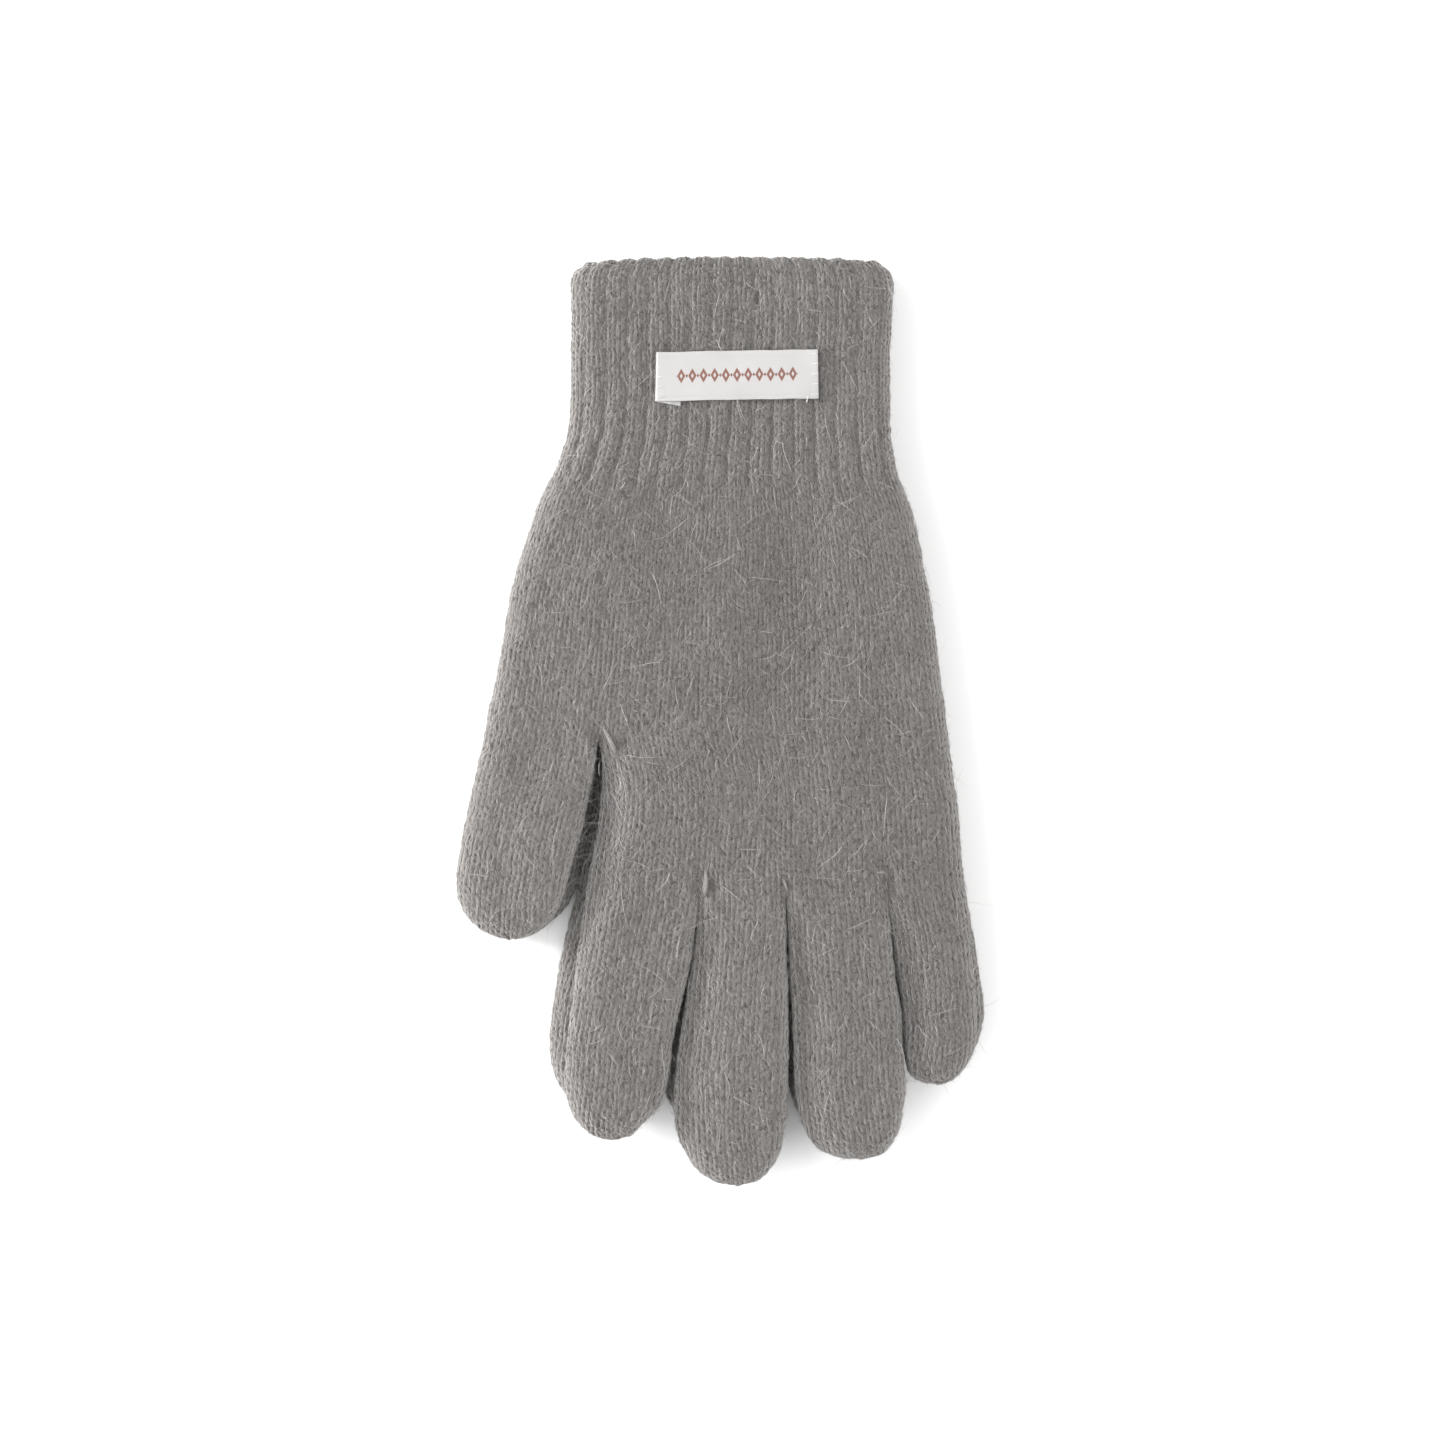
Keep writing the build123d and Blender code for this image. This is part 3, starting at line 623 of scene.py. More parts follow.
        # roll about the finger's own length
        if roll:
            for grid in (tp, bt):
                f = (grid[:, :, 0] - mid[:, 0:1]) / np.maximum(width[:, None], 4) * 2
                grid[:, :, 2] += roll * f * ease(run / 25.0)[:, None]
        if name == "index_finger":
            for grid in (tp, bt):
                grid[:, :, 2] -= sink(grid[:, :, 0], grid[:, :, 1], l[:, 0:1])
        c = nc // 2
        path = np.r_[0, np.cumsum(np.linalg.norm(np.diff(tp[:, c], axis=0), axis=1))]
        vv = v0 + path / COURSE
        pitch = pitch0 + (WALE - pitch0) * ease(run / 18.0)
        ac = (ar[:, :1] + ar[:, -1:]) / 2
        uu_ = u_centre(tp[0, c, 0], ac[0, 0], pitch0) + (ar - ac) / pitch[:, None]
        f = Fabric()
        f.patch(tp, uu_, np.repeat(vv[:, None], nc + 1, 1), 0.0)
        f.patch(bt, uu_, np.repeat(vv[:, None], nc + 1, 1), 0.0, True)
        return f

    # wale count at the centre of each finger's root row
    def wale_at(x):
        k = nw + np.argmin(np.abs(topb[-1, nw:, 0] - x))
        return ub[-1, k]

    shapes = FINGERS[side]
    lifts = {"index_finger": (0.15, 0.35), "middle_finger": (-0.10, 0.60), "ring_finger": (0.00, 0.60), "little_finger": (-0.70, 0.75)}
    for fname, (lp, rp) in shapes.items():
        lo_, ro_ = fname == "index_finger", fname == "little_finger"
        rise, roll = lifts[fname] if side == "upper" else (0.0, 0.0)
        out[fname] = finger(fname, lp, rp, lambda x, arc, pitch: wale_at(x), vb[-1], base_pitch, lo_, ro_, rise, roll)
    out["thumb"] = finger("thumb", THUMB_L, THUMB_R if side == "upper" else THUMB_R_LOW,
                          lambda x, arc, pitch: arc / pitch, va[-1], (arcs[-1, n1]) / THUMB_WALES, True, False,
                          0.40 if side == "upper" else 0.0, 0.50 if side == "upper" else 0.0)

    # cuff: outside up to the mouth, over the edge and back down inside
    y_mouth = 113.3
    rc = int(round((y_mouth - Y_WRIST) / STEP))
    cl, cr = curve(CUFF_LEFT, 500), curve(CUFF_RIGHT, 500)
    yc = np.linspace(Y_WRIST, y_mouth, rc + 1)
    left = np.stack([np.interp(yc, cl[:, 1], cl[:, 0]), yc], 1)
    rightc = np.stack([np.interp(yc, cr[:, 1], cr[:, 0]), yc], 1)
    close = np.clip((yc - (y_mouth - 5.0)) / 5.0, 0, 1)
    inset = 2.4 * (1 - np.sqrt(np.clip(1 - close**2, 0, 1)))
    left[:, 0] += inset
    rightc[:, 0] -= inset
    # a label needs flat ground, and the rib is a little thinner at the mouth
    half_c = half0 - 0.55 * ease((yc - 100) / 14)
    oc = np.ones(rc + 1)
    rims_c = (RIM * oc, half_c, RIM * oc, half_c)
    topc, botc, arcc, _ = tube(left, rightc, mid0 * oc, half_c, rims_c, [lambda total, corner: 0.25 * total], [n1, n2])
    vc = -(yc - Y_WRIST) / COURSE
    rho_c = ease((topc[:, :, 1] - 54.0) / 8.0)
    uc = np.repeat(ua[None, :], rc + 1, 0)
    umc, grc = rib_map(uc, rho_c)
    bow = -1.7 * np.abs((topc[-1, :, 0] - 4.0) / 40.0) ** 3.0
    cuff = Fabric()
    wallt = 1.75
    rows_in = max(8, int(round(46.0 / (STEP * 1.6))))
    lip = np.linspace(0, math.pi, 9)[1:-1]
    for sign, grid, flip in ((1, topc, False), (-1, botc, True)):
        k = np.clip((np.abs(grid[:, :, 2] - mid0) / half_c[:, None]) * 1.4, 0, 1)
        g2 = grid.copy()
        grc_ = grc * (0.38 + 0.62 * np.exp(-(((yc - 68.0) / 13.0) ** 2)))[:, None] * (1 + 0.45 * noise(grid[:, :, 0] / 6, grid[:, :, 1] / 9, 61))
        g2[:, :, 2] += sign * grc_ * k
        # at the side edges the ribs push outwards instead
        nx = np.zeros_like(grc)
        nx[:, :] = np.where(grid[:, :, 0] < 0, -1, 1)
        g2[:, :, 0] += nx * grc_ * (1 - k)
        g2[:, :, 1] += ease((yc - 104) / 10)[:, None] * (bow[None, :] + 0.75 * grc)
        cuff.patch(g2[::-1], umc[::-1], np.repeat(vc[::-1][:, None], g2.shape[1], 1), rho_c[::-1], flip)
        # lip and lining: offset of the mouth row towards the middle of the tube
        rim = g2[-1]
        cx = (left[-1, 0] + rightc[-1, 0]) / 2
        inner_half = half_c[-1] - wallt
        w_out = (rightc[-1, 0] - left[-1, 0]) / 2
        fx = (rim[:, 0] - cx) / w_out
        inner = rim.copy()
        inner[:, 0] = cx + fx * (w_out - wallt)
        inner[:, 2] = mid0 + (rim[:, 2] - mid0) * (inner_half / half_c[-1])
        lips = []
        for th in lip:
            f = (1 - math.cos(th)) / 2
            row = rim * (1 - f) + inner * f
            row[:, 1] += 0.85 * math.sin(th)
            lips.append(row)
        rows_ = [rim] + lips + [inner]
        for i in range(1, rows_in + 1):
            f = i / rows_in
            y = y_mouth - 46.0 * f
            wi = (np.interp(y, cr[:, 1], cr[:, 0]) - np.interp(y, cl[:, 1], cl[:, 0])) / 2 - wallt
            ci = (np.interp(y, cr[:, 1], cr[:, 0]) + np.interp(y, cl[:, 1], cl[:, 0])) / 2
            row = inner.copy()
            row[:, 0] = ci + fx * wi
            row[:, 1] = inner[:, 1] - 46.0 * f
            row[:, 2] = mid0 + (inner[:, 2] - mid0) * (1 - 0.25 * ease(f * 3))
            rows_.append(row)
        lin = np.stack(rows_)
        dv = np.r_[0, np.cumsum(np.linalg.norm(np.diff(lin[:, n1 + n2 // 2], axis=0), axis=1))] / COURSE
        cuff.patch(lin, np.repeat(umc[-1][None, :], len(rows_), 0), vc[-1] - np.repeat(dv[:, None], lin.shape[1], 1), 1.0, not flip)
    out["cuff"] = cuff
    return out


BODY = {"hand": "palm", "cuff": "wrist", "thumb": "thumb", "index_finger": "index", "middle_finger": "middle",
        "ring_finger": "ring", "little_finger": "little"}


def bend(ob, side, part):
    """The hand piece is attached to its palm body; the cuff, thumb and fingers keep their places, with their transforms
    applied.
    """
    palm, own = f"{side}_palm", f"{side}_{BODY[part]}"
    if part == "hand":
        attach(ob, palm)
    elif part == "cuff":
        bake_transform(ob)
    elif part == "thumb":
        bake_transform(ob)
    else:
        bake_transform(ob)


surfaces = {}
for side in ("lower", "upper"):
    parts = build_glove(side)
    extra = dents(side)
    for part, fabric in parts.items():
        co, kn, quads, tris = fabric.weld()
        kn = worn(side, co, kn)
        rest = co.copy()
        co, base = lay(side, co, kn, quads, tris, extra)
        co[:, 2] = np.maximum(co[:, 2], 0.06)
        name = f"{side}_{part}_knit"
        mat = RIB if part == "cuff" else KNIT
        ob = make(name, co, quads, tris, {"knit": kn, "rest": rest}, mat)
        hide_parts(f"{side}_{part}")
        bend(ob, side, part)
        surfaces[(side, part)] = (co, base, quads)


# ------------------------------------------------------------------ strands: fuzz, guard hairs, yarn tufts
def strands(paths, radii, sides=3):
    """Closed thin tubes along (n, k, 3) paths, tapering to their ends."""
    n, k, _ = paths.shape
    tang = np.gradient(paths, axis=1)
    tang /= np.maximum(np.linalg.norm(tang, axis=2), 1e-9)[..., None]
    ref = np.where(np.abs(tang[..., 2:3]) < 0.8, np.array([0, 0, 1.0]), np.array([1.0, 0, 0]))
    e1 = np.cross(tang, ref)
    e1 /= np.maximum(np.linalg.norm(e1, axis=2), 1e-9)[..., None]
    e2 = np.cross(tang, e1)
    th = np.arange(sides) * 2 * math.pi / sides
    rings = paths[:, :, None, :] + radii[..., None, None] * (e1[:, :, None, :] * np.cos(th)[None, None, :, None]
                                                           + e2[:, :, None, :] * np.sin(th)[None, None, :, None])
    co = rings.reshape(-1, 3)
    idx = np.arange(n * k * sides).reshape(n, k, sides)
    nxt = np.roll(idx, -1, axis=2)
    quads = np.stack([idx[:, :-1], nxt[:, :-1], nxt[:, 1:], idx[:, 1:]], -1).reshape(-1, 4)
    if sides == 3:
        tris = np.concatenate([idx[:, 0, ::-1].reshape(-1, 3), idx[:, -1].reshape(-1, 3)])
    else:
        tris = np.concatenate([np.stack([idx[:, e, 0], idx[:, e, i], idx[:, e, i + 1]], -1)[:, ::(1 if e else -1)] for e in (0, -1) for i in range(1, sides - 1)])
    return co, quads, tris


def grow(co, base, quads, count, length, spread, lie, radius, segs, curl, seedling, weight=None, along=0.0):
    """Fibres rooted at random on a surface: paths and radii."""
    r = np.random.default_rng(seedling)
    a, b, c, d = (co[quads[:, k]] for k in range(4))
    area = np.linalg.norm(np.cross(c - a, d - b), axis=1)
    if weight is not None:
        area = area * weight(co[quads].mean(1), base[quads[:, 0]])
    pick = r.choice(len(quads), count, p=area / area.sum())
    f, g = r.random((2, count, 1))
    root = (a[pick] * (1 - f) + b[pick] * f) * (1 - g) + (d[pick] * (1 - f) + c[pick] * f) * g
    nrm = base[quads[pick, 0]]
    rnd = r.normal(size=(count, 3)) + np.array([0, 1.0, 0]) * along * np.sign(r.random((count, 1)) - 0.5)
    tan = rnd - nrm * (rnd * nrm).sum(1)[:, None]
    tan /= np.maximum(np.linalg.norm(tan, axis=1), 1e-9)[:, None]
    side_ = np.cross(nrm, tan)
    size = length[0] + (length[1] - length[0]) * r.random(count) ** 2.0
    up = spread * r.random(count)[:, None] + lie
    s = np.linspace(0, 1, segs + 1)[None, :, None]
    bendy = r.normal(size=(count, 1, 1)) * curl
    bend2 = r.normal(size=(count, 1, 1)) * curl * 0.2
    height = up[:, None] * (s - 0.62 * s**2) * 1.4
    path = root[:, None] + size[:, None, None] * (tan[:, None] * s + side_[:, None] * (bendy * s**2 + bend2 * np.sin(s * 5)) + nrm[:, None] * height)
    path -= nrm[:, None] * 0.10
    taper = np.clip(1.15 - np.linspace(0, 1, segs + 1) ** 2, 0.15, 1)[None, :]
    rad = radius * (0.7 + 0.6 * r.random((count, 1))) * taper
    return path, rad


FUZZ_SHARE = {"hand": 1.0, "cuff": 0.62, "thumb": 0.18, "index_finger": 0.22, "middle_finger": 0.25, "ring_finger": 0.23, "little_finger": 0.16}
for (side, part), (co, base, quads) in surfaces.items():
    share = FUZZ_SHARE[part] * 1.0
    upper = side == "upper"
    zmid = (LOW[side] + HIGH[side]) / 2

    def shown(p, n):
        """More fibres where they show: the top and the sides of the upper glove, the rim of the lower one."""
        rim = np.clip(1.3 - np.abs(n[:, 2]), 0, 1)
        top = np.clip(n[:, 2], 0, 1)
        return 0.06 + rim * 1.1 + (top * 1.0 if upper else top * 0.25)

    many = int((15000 if upper else 5200) * share)
    p1, r1 = grow(co, base, quads, many, (0.7, 2.4), 0.55, 0.12, 0.034, 3, 0.32, 100 + len(part) * 7 + (1 if upper else 0), shown, 1.5)
    p1[:, :, 2] = np.maximum(p1[:, :, 2], 0.08)
    c1, q1, t1 = strands(p1, r1)
    few = int((440 if upper else 150) * share)
    p2, r2 = grow(co, base, quads, few, (2.5, 10.5), 0.20, 0.08, 0.043, 7, 0.15, 300 + len(part) * 7 + (1 if upper else 0), shown, 0.8)
    p2[:, :, 2] = np.maximum(p2[:, :, 2], 0.08)
    c2, q2, t2 = strands(p2, r2)
    fz = make(f"{side}_{part}_fuzz", c1, q1, t1, {}, FUZZ)
    gh = make(f"{side}_{part}_hairs", c2, q2, t2, {}, GUARD)
    for ob in (fz, gh):
        bend(ob, side, part)

# stray hairs across the gap beside the thumb
gap = []
r = np.random.default_rng(5)
for k in range(26):
    y = -7 - 35 * r.random()
    x0 = np.interp(-y, [3.4, 20, 45], [-31.0, -33.0, -39.5])
    x1 = np.interp(-y, [3.4, 20, 45], [-29.6, -30.3, -34.6])
    s = np.linspace(0, 1, 8)[:, None]
    a = np.array([x0 - 1.5 * r.random(), y + 3 * r.normal(), 15.2 + r.random()])
    b = np.array([x1 + 2.5 * r.random(), y + 3 * r.normal(), 15.0 + 1.2 * r.random()])
    gap.append(a * (1 - s) + b * s + np.sin(s * math.pi) * np.array([0, r.normal() * 0.8, 0.3 - 0.9 * r.random()]))
gp = np.array(gap)
gc, gq, gt = strands(gp, np.full(gp.shape[:2], 0.032))
gh = make("upper_gap_hairs", gc, gq, gt, {}, FUZZ)
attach(gh, "upper_palm")


def yarn(points, radius, plies=2, twist=1.4, k=26):
    """A short twisted yarn through points, as plies wound on each other: paths and radii."""
    p = np.array(points, float)
    t = np.linspace(0, len(p) - 1, k)
    line = np.stack([np.interp(t, np.arange(len(p)), p[:, i]) for i in range(3)], 1)
    for _ in range(3):
        line[1:-1] = (line[:-2] + 2 * line[1:-1] + line[2:]) / 4
    tan = np.gradient(line, axis=0)
    tan /= np.linalg.norm(tan, axis=1)[:, None]
    e1 = np.cross(tan, [0.13, 0.21, 0.97])
    e1 /= np.linalg.norm(e1, axis=1)[:, None]
    e2 = np.cross(tan, e1)
    run = np.r_[0, np.cumsum(np.linalg.norm(np.diff(line, axis=0), axis=1))]
    out, rad = [], []
    for j in range(plies):
        ph = 2 * math.pi * (run / twist + j / plies)
        out.append(line + (e1 * np.cos(ph)[:, None] + e2 * np.sin(ph)[:, None]) * radius * 0.52)
        rad.append(radius * 0.56 * (0.25 + 0.75 * np.sin(np.linspace(0.12, math.pi - 0.12, k)) ** 0.7))
    return out, rad


TUFT = plain_material("darning_yarn", (0.215, 0.205, 0.197, 1), 0.85, 0.3)
for side in ("lower", "upper"):
    zt = HIGH[side] - 0.45 if side == "upper" else HIGH[side] - 1.2
    sets = [
        ([(-28.7, -1.8, zt - 0.2), (-27.8, -3.6, zt + 0.25), (-26.6, -5.9, zt + 0.20), (-25.7, -7.9, zt - 0.5)], 0.55),
        ([(-28.2, -2.8, zt - 0.4), (-27.0, -4.9, zt + 0.15), (-25.9, -8.3, zt - 0.5)], 0.38),
        ([(-3.6, -36.6, zt - 0.2), (-3.4, -39.0, zt + 0.30), (-3.5, -41.4, zt + 0.10), (-3.9, -43.4, zt - 0.4)], 0.46),
        ([(-4.3, -38.2, zt - 0.2), (-3.9, -40.4, zt + 0.15), (-4.4, -42.6, zt - 0.4)], 0.30),
        ([(5.4, -41.0, zt - 0.1), (6.3, -42.2, zt + 0.25), (7.4, -43.2, zt - 0.2)], 0.30),
        ([(15.4, -38.8, zt - 0.3), (16.1, -40.4, zt + 0.15), (16.6, -42.4, zt - 0.5)], 0.34),
        ([(37.2, -37.2, zt - 0.2), (38.6, -37.6, zt + 0.30), (40.2, -37.4, zt + 0.10), (41.2, -38.0, zt - 0.3)], 0.42),
    ]
    paths, radii = [], []
    for s_, thick in sets:
        a, b = yarn(s_, thick)
        paths += a
        radii += b
    c_, q_, t_ = strands(np.array(paths), np.array(radii), 8)
    ob = make(f"{side}_crotch_yarn", c_, q_, t_, {}, TUFT)
    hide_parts(f"{side}_crotch_stitches")
    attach(ob, f"{side}_palm")

# ------------------------------------------------------------------ elastic yarn inside the rib
ELASTIC = plain_material("covered_elastic", (0.55, 0.54, 0.52, 1), 0.55, 0.1)
for side in ("lower", "upper"):
    lo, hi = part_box(f"{side}_cuff_elastic")
    x0, x1, z0, z1 = lo.x / MM + 0.35, hi.x / MM - 0.35, lo.z / MM + 0.35, hi.z / MM - 0.35
    ys = np.linspace(lo.y / MM + 0.35, hi.y / MM - 0.35, 6)
    zc_, hz, xc_, hx = (z0 + z1) / 2, (z1 - z0) / 2, (x0 + x1) / 2, (x1 - x0) / 2
    th = np.linspace(0, 2 * math.pi, 97)
    paths = []
    for y in ys:
        cx, sz = np.sign(np.cos(th)) * np.abs(np.cos(th)) ** 0.35, np.sign(np.sin(th)) * np.abs(np.sin(th)) ** 0.6
        paths.append(np.stack([xc_ + hx * cx * 0.985, y + 0.25 * np.sin(th * 9), zc_ + hz * sz * 0.98], 1))
    paths = np.array(paths)
    c_, q_, t_ = strands(paths, np.full(paths.shape[:2], 0.28), 6)
    ob = make(f"{side}_elastic_yarn", c_, q_, t_, {}, ELASTIC)
    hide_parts(f"{side}_cuff_elastic")
    bend(ob, side, "cuff")

# ------------------------------------------------------------------ woven label
LW, LH = 39.7, 12.1
LC = (4.2, 84.9)


def label_material():
    mat = bpy.data.materials.new("woven_label")
    g = Nodes(mat)
    _, x, y, ply = g.attribute("label")
    # satin twill: fine slanted threads, a flat selvedge along both long edges
    tw = g.m("SINE", g.m("MULTIPLY", g.m("ADD", g.m("MULTIPLY", x, 1.0), g.m("MULTIPLY", y, 0.62)), 2 * math.pi / 0.52))
    warp = g.m("SINE", g.m("MULTIPLY", y, 2 * math.pi / 0.30))
    weft = g.m("SINE", g.m("MULTIPLY", x, 2 * math.pi / 0.34))
    ay = g.m("ABSOLUTE", y)
    edge = g.m("SUBTRACT", 1.0, g.m("MULTIPLY", g.m("ABSOLUTE", g.m("SUBTRACT", ay, 4.9)), 5.0), clamp=True)
    dash = g.m("GREATER_THAN", g.m("SINE", g.m("MULTIPLY", x, 2 * math.pi / 0.8)), -0.1)
    # a plain border of lozenges and dots in coppery thread
    period = 2.75
    px = g.m("SUBTRACT", g.m("MULTIPLY", g.m("FRACT", g.m("ADD", g.m("DIVIDE", x, period), 0.5)), period), period / 2)
    apx = g.m("ABSOLUTE", px)
    yy = g.m("ABSOLUTE", g.m("ADD", y, -0.1))
    loz = g.m("LESS_THAN", g.m("ADD", g.m("DIVIDE", apx, 1.02), g.m("DIVIDE", yy, 1.8)), 1.0)
    hole = g.m("LESS_THAN", g.m("ADD", g.m("DIVIDE", apx, 0.36), g.m("DIVIDE", yy, 0.66)), 1.0)
    loz = g.m("SUBTRACT", loz, hole, clamp=True)
    dot = g.m("LESS_THAN", g.m("ADD", g.m("DIVIDE", g.m("ABSOLUTE", g.m("SUBTRACT", apx, period / 2)), 0.34), g.m("DIVIDE", yy, 0.5)), 1.0)
    motif = g.m("MAXIMUM", loz, dot)
    inside = g.m("LESS_THAN", g.m("ABSOLUTE", x), 14.95)
    topply = g.m("GREATER_THAN", ply, 0.5)
    motif = g.m("MULTIPLY", g.m("MULTIPLY", motif, inside), topply)
    n1 = g.noise(g.vec(x, y, ply), 2.2, 3.0, 0.6)
    n2 = g.noise(g.vec(g.m("MULTIPLY", x, 3.0), y, ply), 4.0, 2.0, 0.6)
    white = g.mix(n1, (0.430, 0.419, 0.415, 1), (0.490, 0.479, 0.475, 1))
    tone = g.m("ADD", 0.90, g.m("MULTIPLY", tw, 0.045))
    tone = g.m("ADD", tone, g.m("MULTIPLY", warp, 0.025))
    tone = g.m("SUBTRACT", tone, g.m("MULTIPLY", g.m("MULTIPLY", edge, dash), 0.12))
    tone = g.m("MULTIPLY", tone, g.m("ADD", 0.94, g.m("MULTIPLY", n2, 0.12)))
    copper = g.mix(n2, (0.075, 0.022, 0.016, 1), (0.26, 0.085, 0.045, 1))
    color = g.mix(g.m("MULTIPLY", motif, 0.92), g.scale(white, tone), g.scale(copper, g.m("ADD", 0.95, g.m("MULTIPLY", weft, 0.18))))
    h = g.m("ADD", g.m("MULTIPLY", tw, 0.5), g.m("MULTIPLY", warp, 0.3))
    h = g.m("ADD", h, g.m("MULTIPLY", motif, 1.2))
    h = g.m("SUBTRACT", h, g.m("MULTIPLY", edge, 0.8))
    g.surface(color, g.m("ADD", 0.42, g.m("MULTIPLY", n2, 0.2)), g.bump(h, 0.00006, 0.8), sheen=0.15, specular=0.4)
    return mat


LABEL = label_material()
THREAD = plain_material("label_thread", (0.56, 0.55, 0.53, 1), 0.5, 0.2)


def build_label(side):
    """A strip with both ends turned under, laid on the rib; the lower glove's faces the table."""
    t = 0.26
    rad = 0.24
    half = LW / 2
    path = [(-half + 6.0, 0.0), (-half + 3.0, 0.0), (-half + 0.6, 0.0)]
    arc = [(-half + rad - rad * math.sin(a), rad - rad * math.cos(a)) for a in np.linspace(0, math.pi, 9)]
    path += arc
    path += [(x, 2 * rad) for x in np.linspace(-half + 0.6, half - 0.6, 120)]
    path += [(half - rad + rad * math.sin(a), rad + rad * math.cos(a)) for a in np.linspace(0, math.pi, 9)]
    path += [(half - 0.6, 0.0), (half - 3.0, 0.0), (half - 6.0, 0.0)]
    path = np.array(path)
    tan = np.gradient(path, axis=0)
    tan /= np.linalg.norm(tan, axis=1)[:, None]
    nrm = np.stack([-tan[:, 1], tan[:, 0]], 1)
    run = np.r_[0, np.cumsum(np.linalg.norm(np.diff(path, axis=0), axis=1))]
    ys = np.linspace(-LH / 2, LH / 2, 44)
    out, lab = [], []
    for s in (1, -1):
        pts = path + nrm * s * t / 2
        g = np.zeros((len(path), len(ys), 3))
        g[:, :, 0] = pts[:, 0:1]
        g[:, :, 1] = ys[None, :]
        g[:, :, 2] = pts[:, 1:2]
        out.append(g)
        l = np.zeros_like(g)
        l[:, :, 0], l[:, :, 1] = path[:, 0:1], ys[None, :]
        l[:, :, 2] = (path[:, 1:2] > rad * 1.01) * 1.0
        lab.append(l)
    # the left turned-under end sits askew and peeps out below the lower edge
    for g in out:
        under = (g[:, :, 2] < 0.2) & (g[:, :, 0] < 0)
        skew = np.clip((g[:, :, 0] + half) / 6.0, 0, 1)
        g[:, :, 1] -= np.where(under, 1.25 * skew, 0)
        x, y = g[:, :, 0], g[:, :, 1]
        g[:, :, 0] += 0.045 * y * np.clip(-x / half, 0, 1)
        g[:, :, 2] += 0.16 * noise(x / 6.0, y / 5.0, 21) + 0.25 * np.clip((np.abs(x) - 16) / 4, 0, 1) * (y / 6)
        g[:, :, 1] += 0.10 * noise(x / 4.0, 0 * y, 22)
    n, m = out[0].shape[:2]
    co = np.concatenate([out[0].reshape(-1, 3), out[1].reshape(-1, 3)])
    lb = np.concatenate([lab[0].reshape(-1, 3), lab[1].reshape(-1, 3)])
    i0 = np.arange(n * m).reshape(n, m)
    i1 = i0 + n * m
    quads = [np.stack([i0[:-1, :-1], i0[1:, :-1], i0[1:, 1:], i0[:-1, 1:]], -1).reshape(-1, 4),
             np.stack([i1[:-1, :-1], i1[:-1, 1:], i1[1:, 1:], i1[1:, :-1]], -1).reshape(-1, 4)]
    for a, b in ((i0[:, 0], i1[:, 0]), (i1[:, -1], i0[:, -1])):
        quads.append(np.stack([a[1:], a[:-1], b[:-1], b[1:]], -1))
    for a, b in ((i1[0], i0[0]), (i0[-1], i1[-1])):
        quads.append(np.stack([a[1:], a[:-1], b[:-1], b[1:]], -1))
    quads = np.concatenate(quads)
    c, s = math.cos(math.radians(1.0)), math.sin(math.radians(1.0))
    x, y = co[:, 0].copy(), co[:, 1].copy()
    co[:, 0], co[:, 1] = LC[0] + c * x - s * y, LC[1] + s * x + c * y
    if side == "upper":
        co[:, 2] += HIGH["upper"] + 0.16
    else:
        co[:, 2] = np.maximum(0.78 - co[:, 2], 0.03)
        quads = quads[:, ::-1]
    ob = make(f"{side}_woven_label", co, quads, np.zeros((0, 3), int), {"label": lb}, LABEL)
    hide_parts(f"{side}_label")
    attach(ob, f"{side}_wrist")
    # stitches through both ends
    paths = []
    for e in (-1, 1):
        for k in range(5):
            y0 = (k - 2) * 2.5
            s5 = np.linspace(-1, 1, 9)
            xs = e * (half - 0.75) + s5 * 0.85
            zs = 2 * rad + t / 2 + 0.06 - 0.22 * s5**4 + 0.0 * s5
            xx = LC[0] + c * xs - s * (y0 + s5 * 0.12)
            yy_ = LC[1] + s * xs + c * (y0 + s5 * 0.12)
            zz = zs + HIGH["upper"] + 0.16 if side == "upper" else np.maximum(0.78 - zs, 0.12)
            paths.append(np.stack([xx, yy_, zz], 1))
    if side == "upper":
        # the loose tail of the sewing thread at the lower right corner
        s9 = np.linspace(0, 1, 9)
        paths.append(np.stack([LC[0] + half - 2.4 - 0.3 * s9, LC[1] - LH / 2 + 0.9 - 1.5 * s9, HIGH["upper"] + 0.75 - 0.35 * s9**2], 1))
    paths = np.array(paths)
    c_, q_, t_ = strands(paths, np.full(paths.shape[:2], 0.11), 6)
    st = make(f"{side}_label_thread", c_, q_, t_, {}, THREAD)
    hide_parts(f"{side}_label_stitches")
    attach(st, f"{side}_wrist")


build_label("lower")
build_label("upper")

# ------------------------------------------------------------------ floor, light, camera
bpy.ops.mesh.primitive_plane_add(size=6.0, location=(0, 0, 0))
floor = bpy.context.object
floor.name = "floor"
fm = bpy.data.materials.new("floor_white")
g = Nodes(fm)
g.surface((0.96, 0.96, 0.96, 1), 0.9, None, specular=0.1)
floor.data.materials.append(fm)

world = bpy.data.worlds.new("studio")
bpy.context.scene.world = world
world.use_nodes = True
world.node_tree.nodes["Background"].inputs["Color"].default_value = (1, 1, 1, 1)
world.node_tree.nodes["Background"].inputs["Strength"].default_value = 0.92


def area(name, loc, size, power, target=(0, 0, 0)):
    light = bpy.data.lights.new(name, "AREA")
    light.shape = "RECTANGLE"
    light.size, light.size_y = size
    light.energy = power
    ob = bpy.data.objects.new(name, light)
    ob.location = loc
    ob.rotation_euler = (Vector(target) - Vector(loc)).to_track_quat("-Z", "Y").to_euler()
    bpy.context.scene.collection.objects.link(ob)


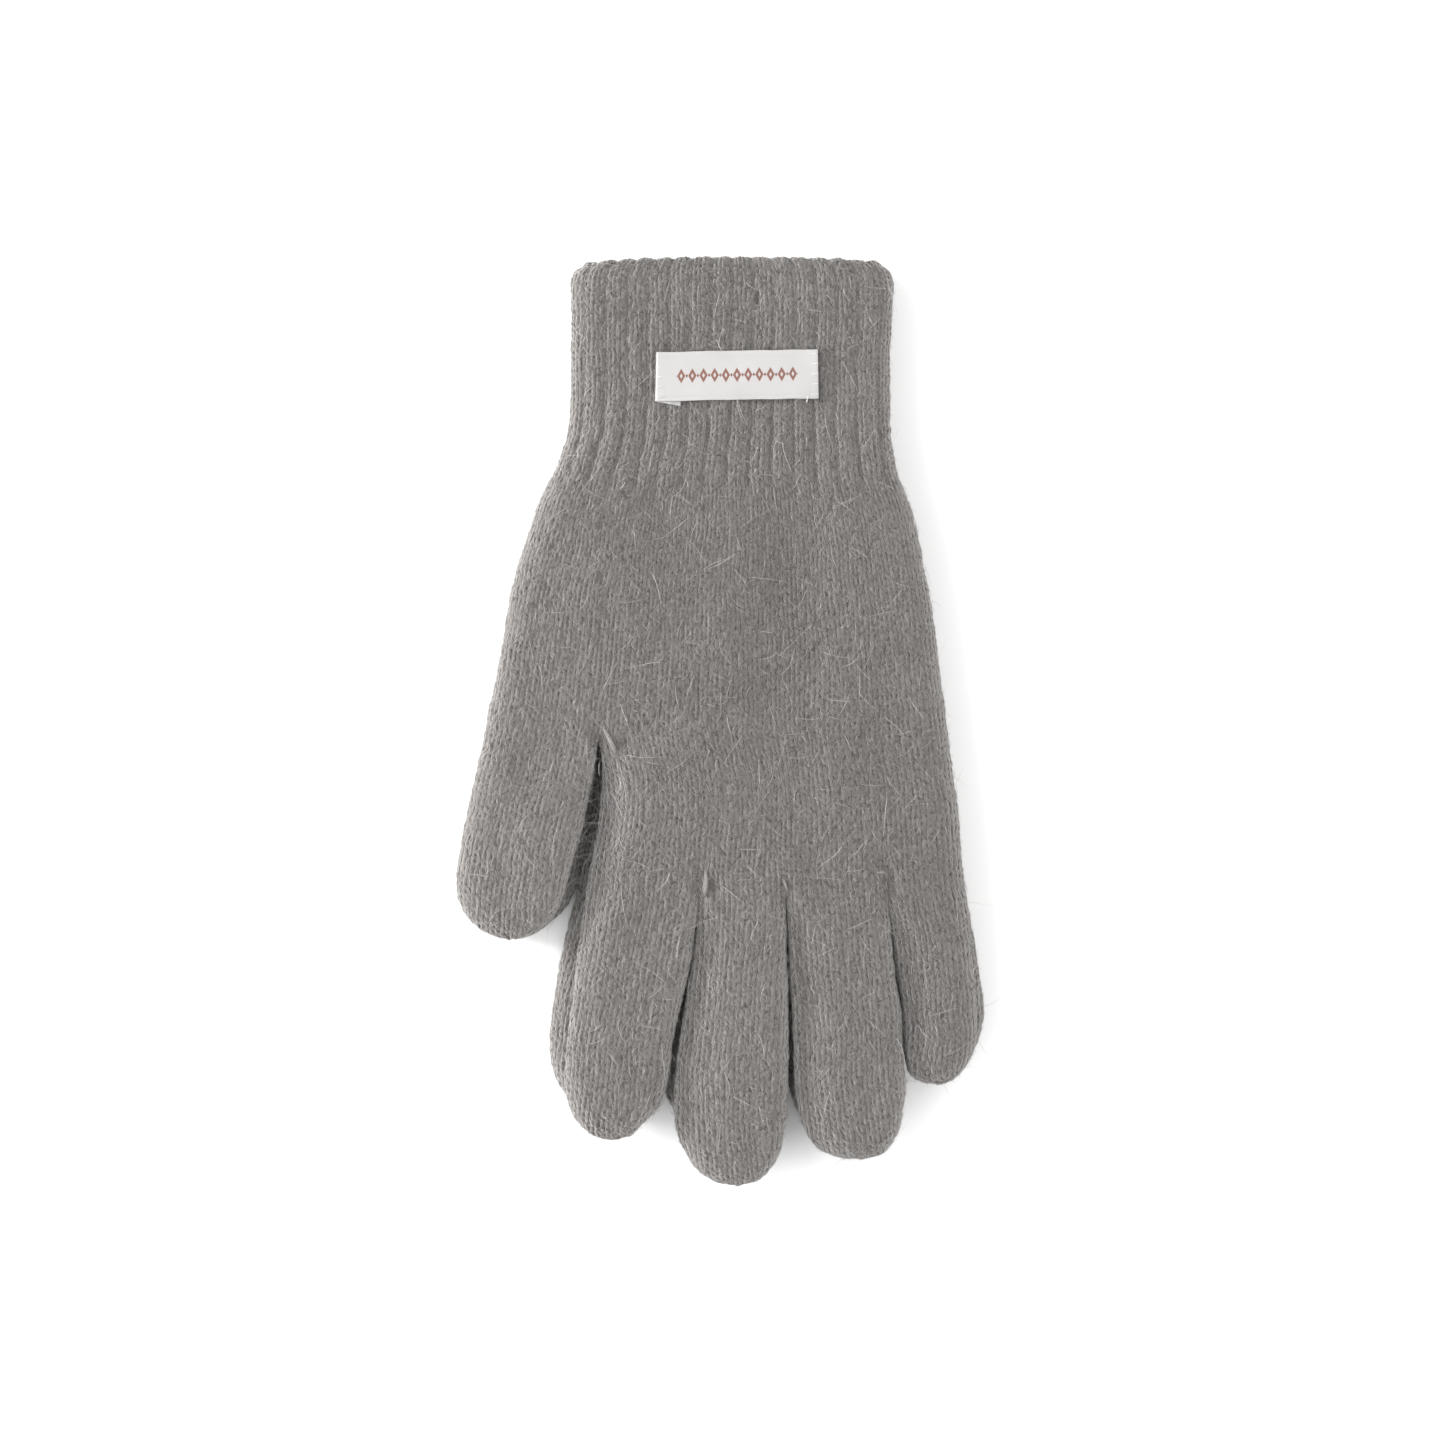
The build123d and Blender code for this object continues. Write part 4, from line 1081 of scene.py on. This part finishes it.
area("key", (-1.10, 0.45, 1.25), (0.9, 0.9), 9.0)
area("side", (-1.25, 0.15, 0.24), (0.9, 0.34), 12.0)
area("right", (1.25, 0.10, 0.24), (0.9, 0.30), 13.5)
area("cuff", (-0.62, 0.13, 0.15), (0.22, 0.10), 6.6, (-0.036, 0.092, 0.010))
area("fill", (1.00, 0.30, 1.20), (1.2, 1.2), 4.0)
area("front", (-0.75, -0.60, 1.15), (0.8, 0.6), 4.2)

cam_data = bpy.data.cameras.new("camera")
cam = bpy.data.objects.new("camera", cam_data)
cam.location = (0, 0, 1.5)
cam.rotation_euler = (0, 0, 0)
cam_data.sensor_width = 36.0
cam_data.lens = 36.0 * (1.5 - 0.011) / (1440 * 0.0002473)
bpy.context.scene.collection.objects.link(cam)
bpy.context.scene.camera = cam
bpy.context.scene.view_settings.view_transform = "Standard"
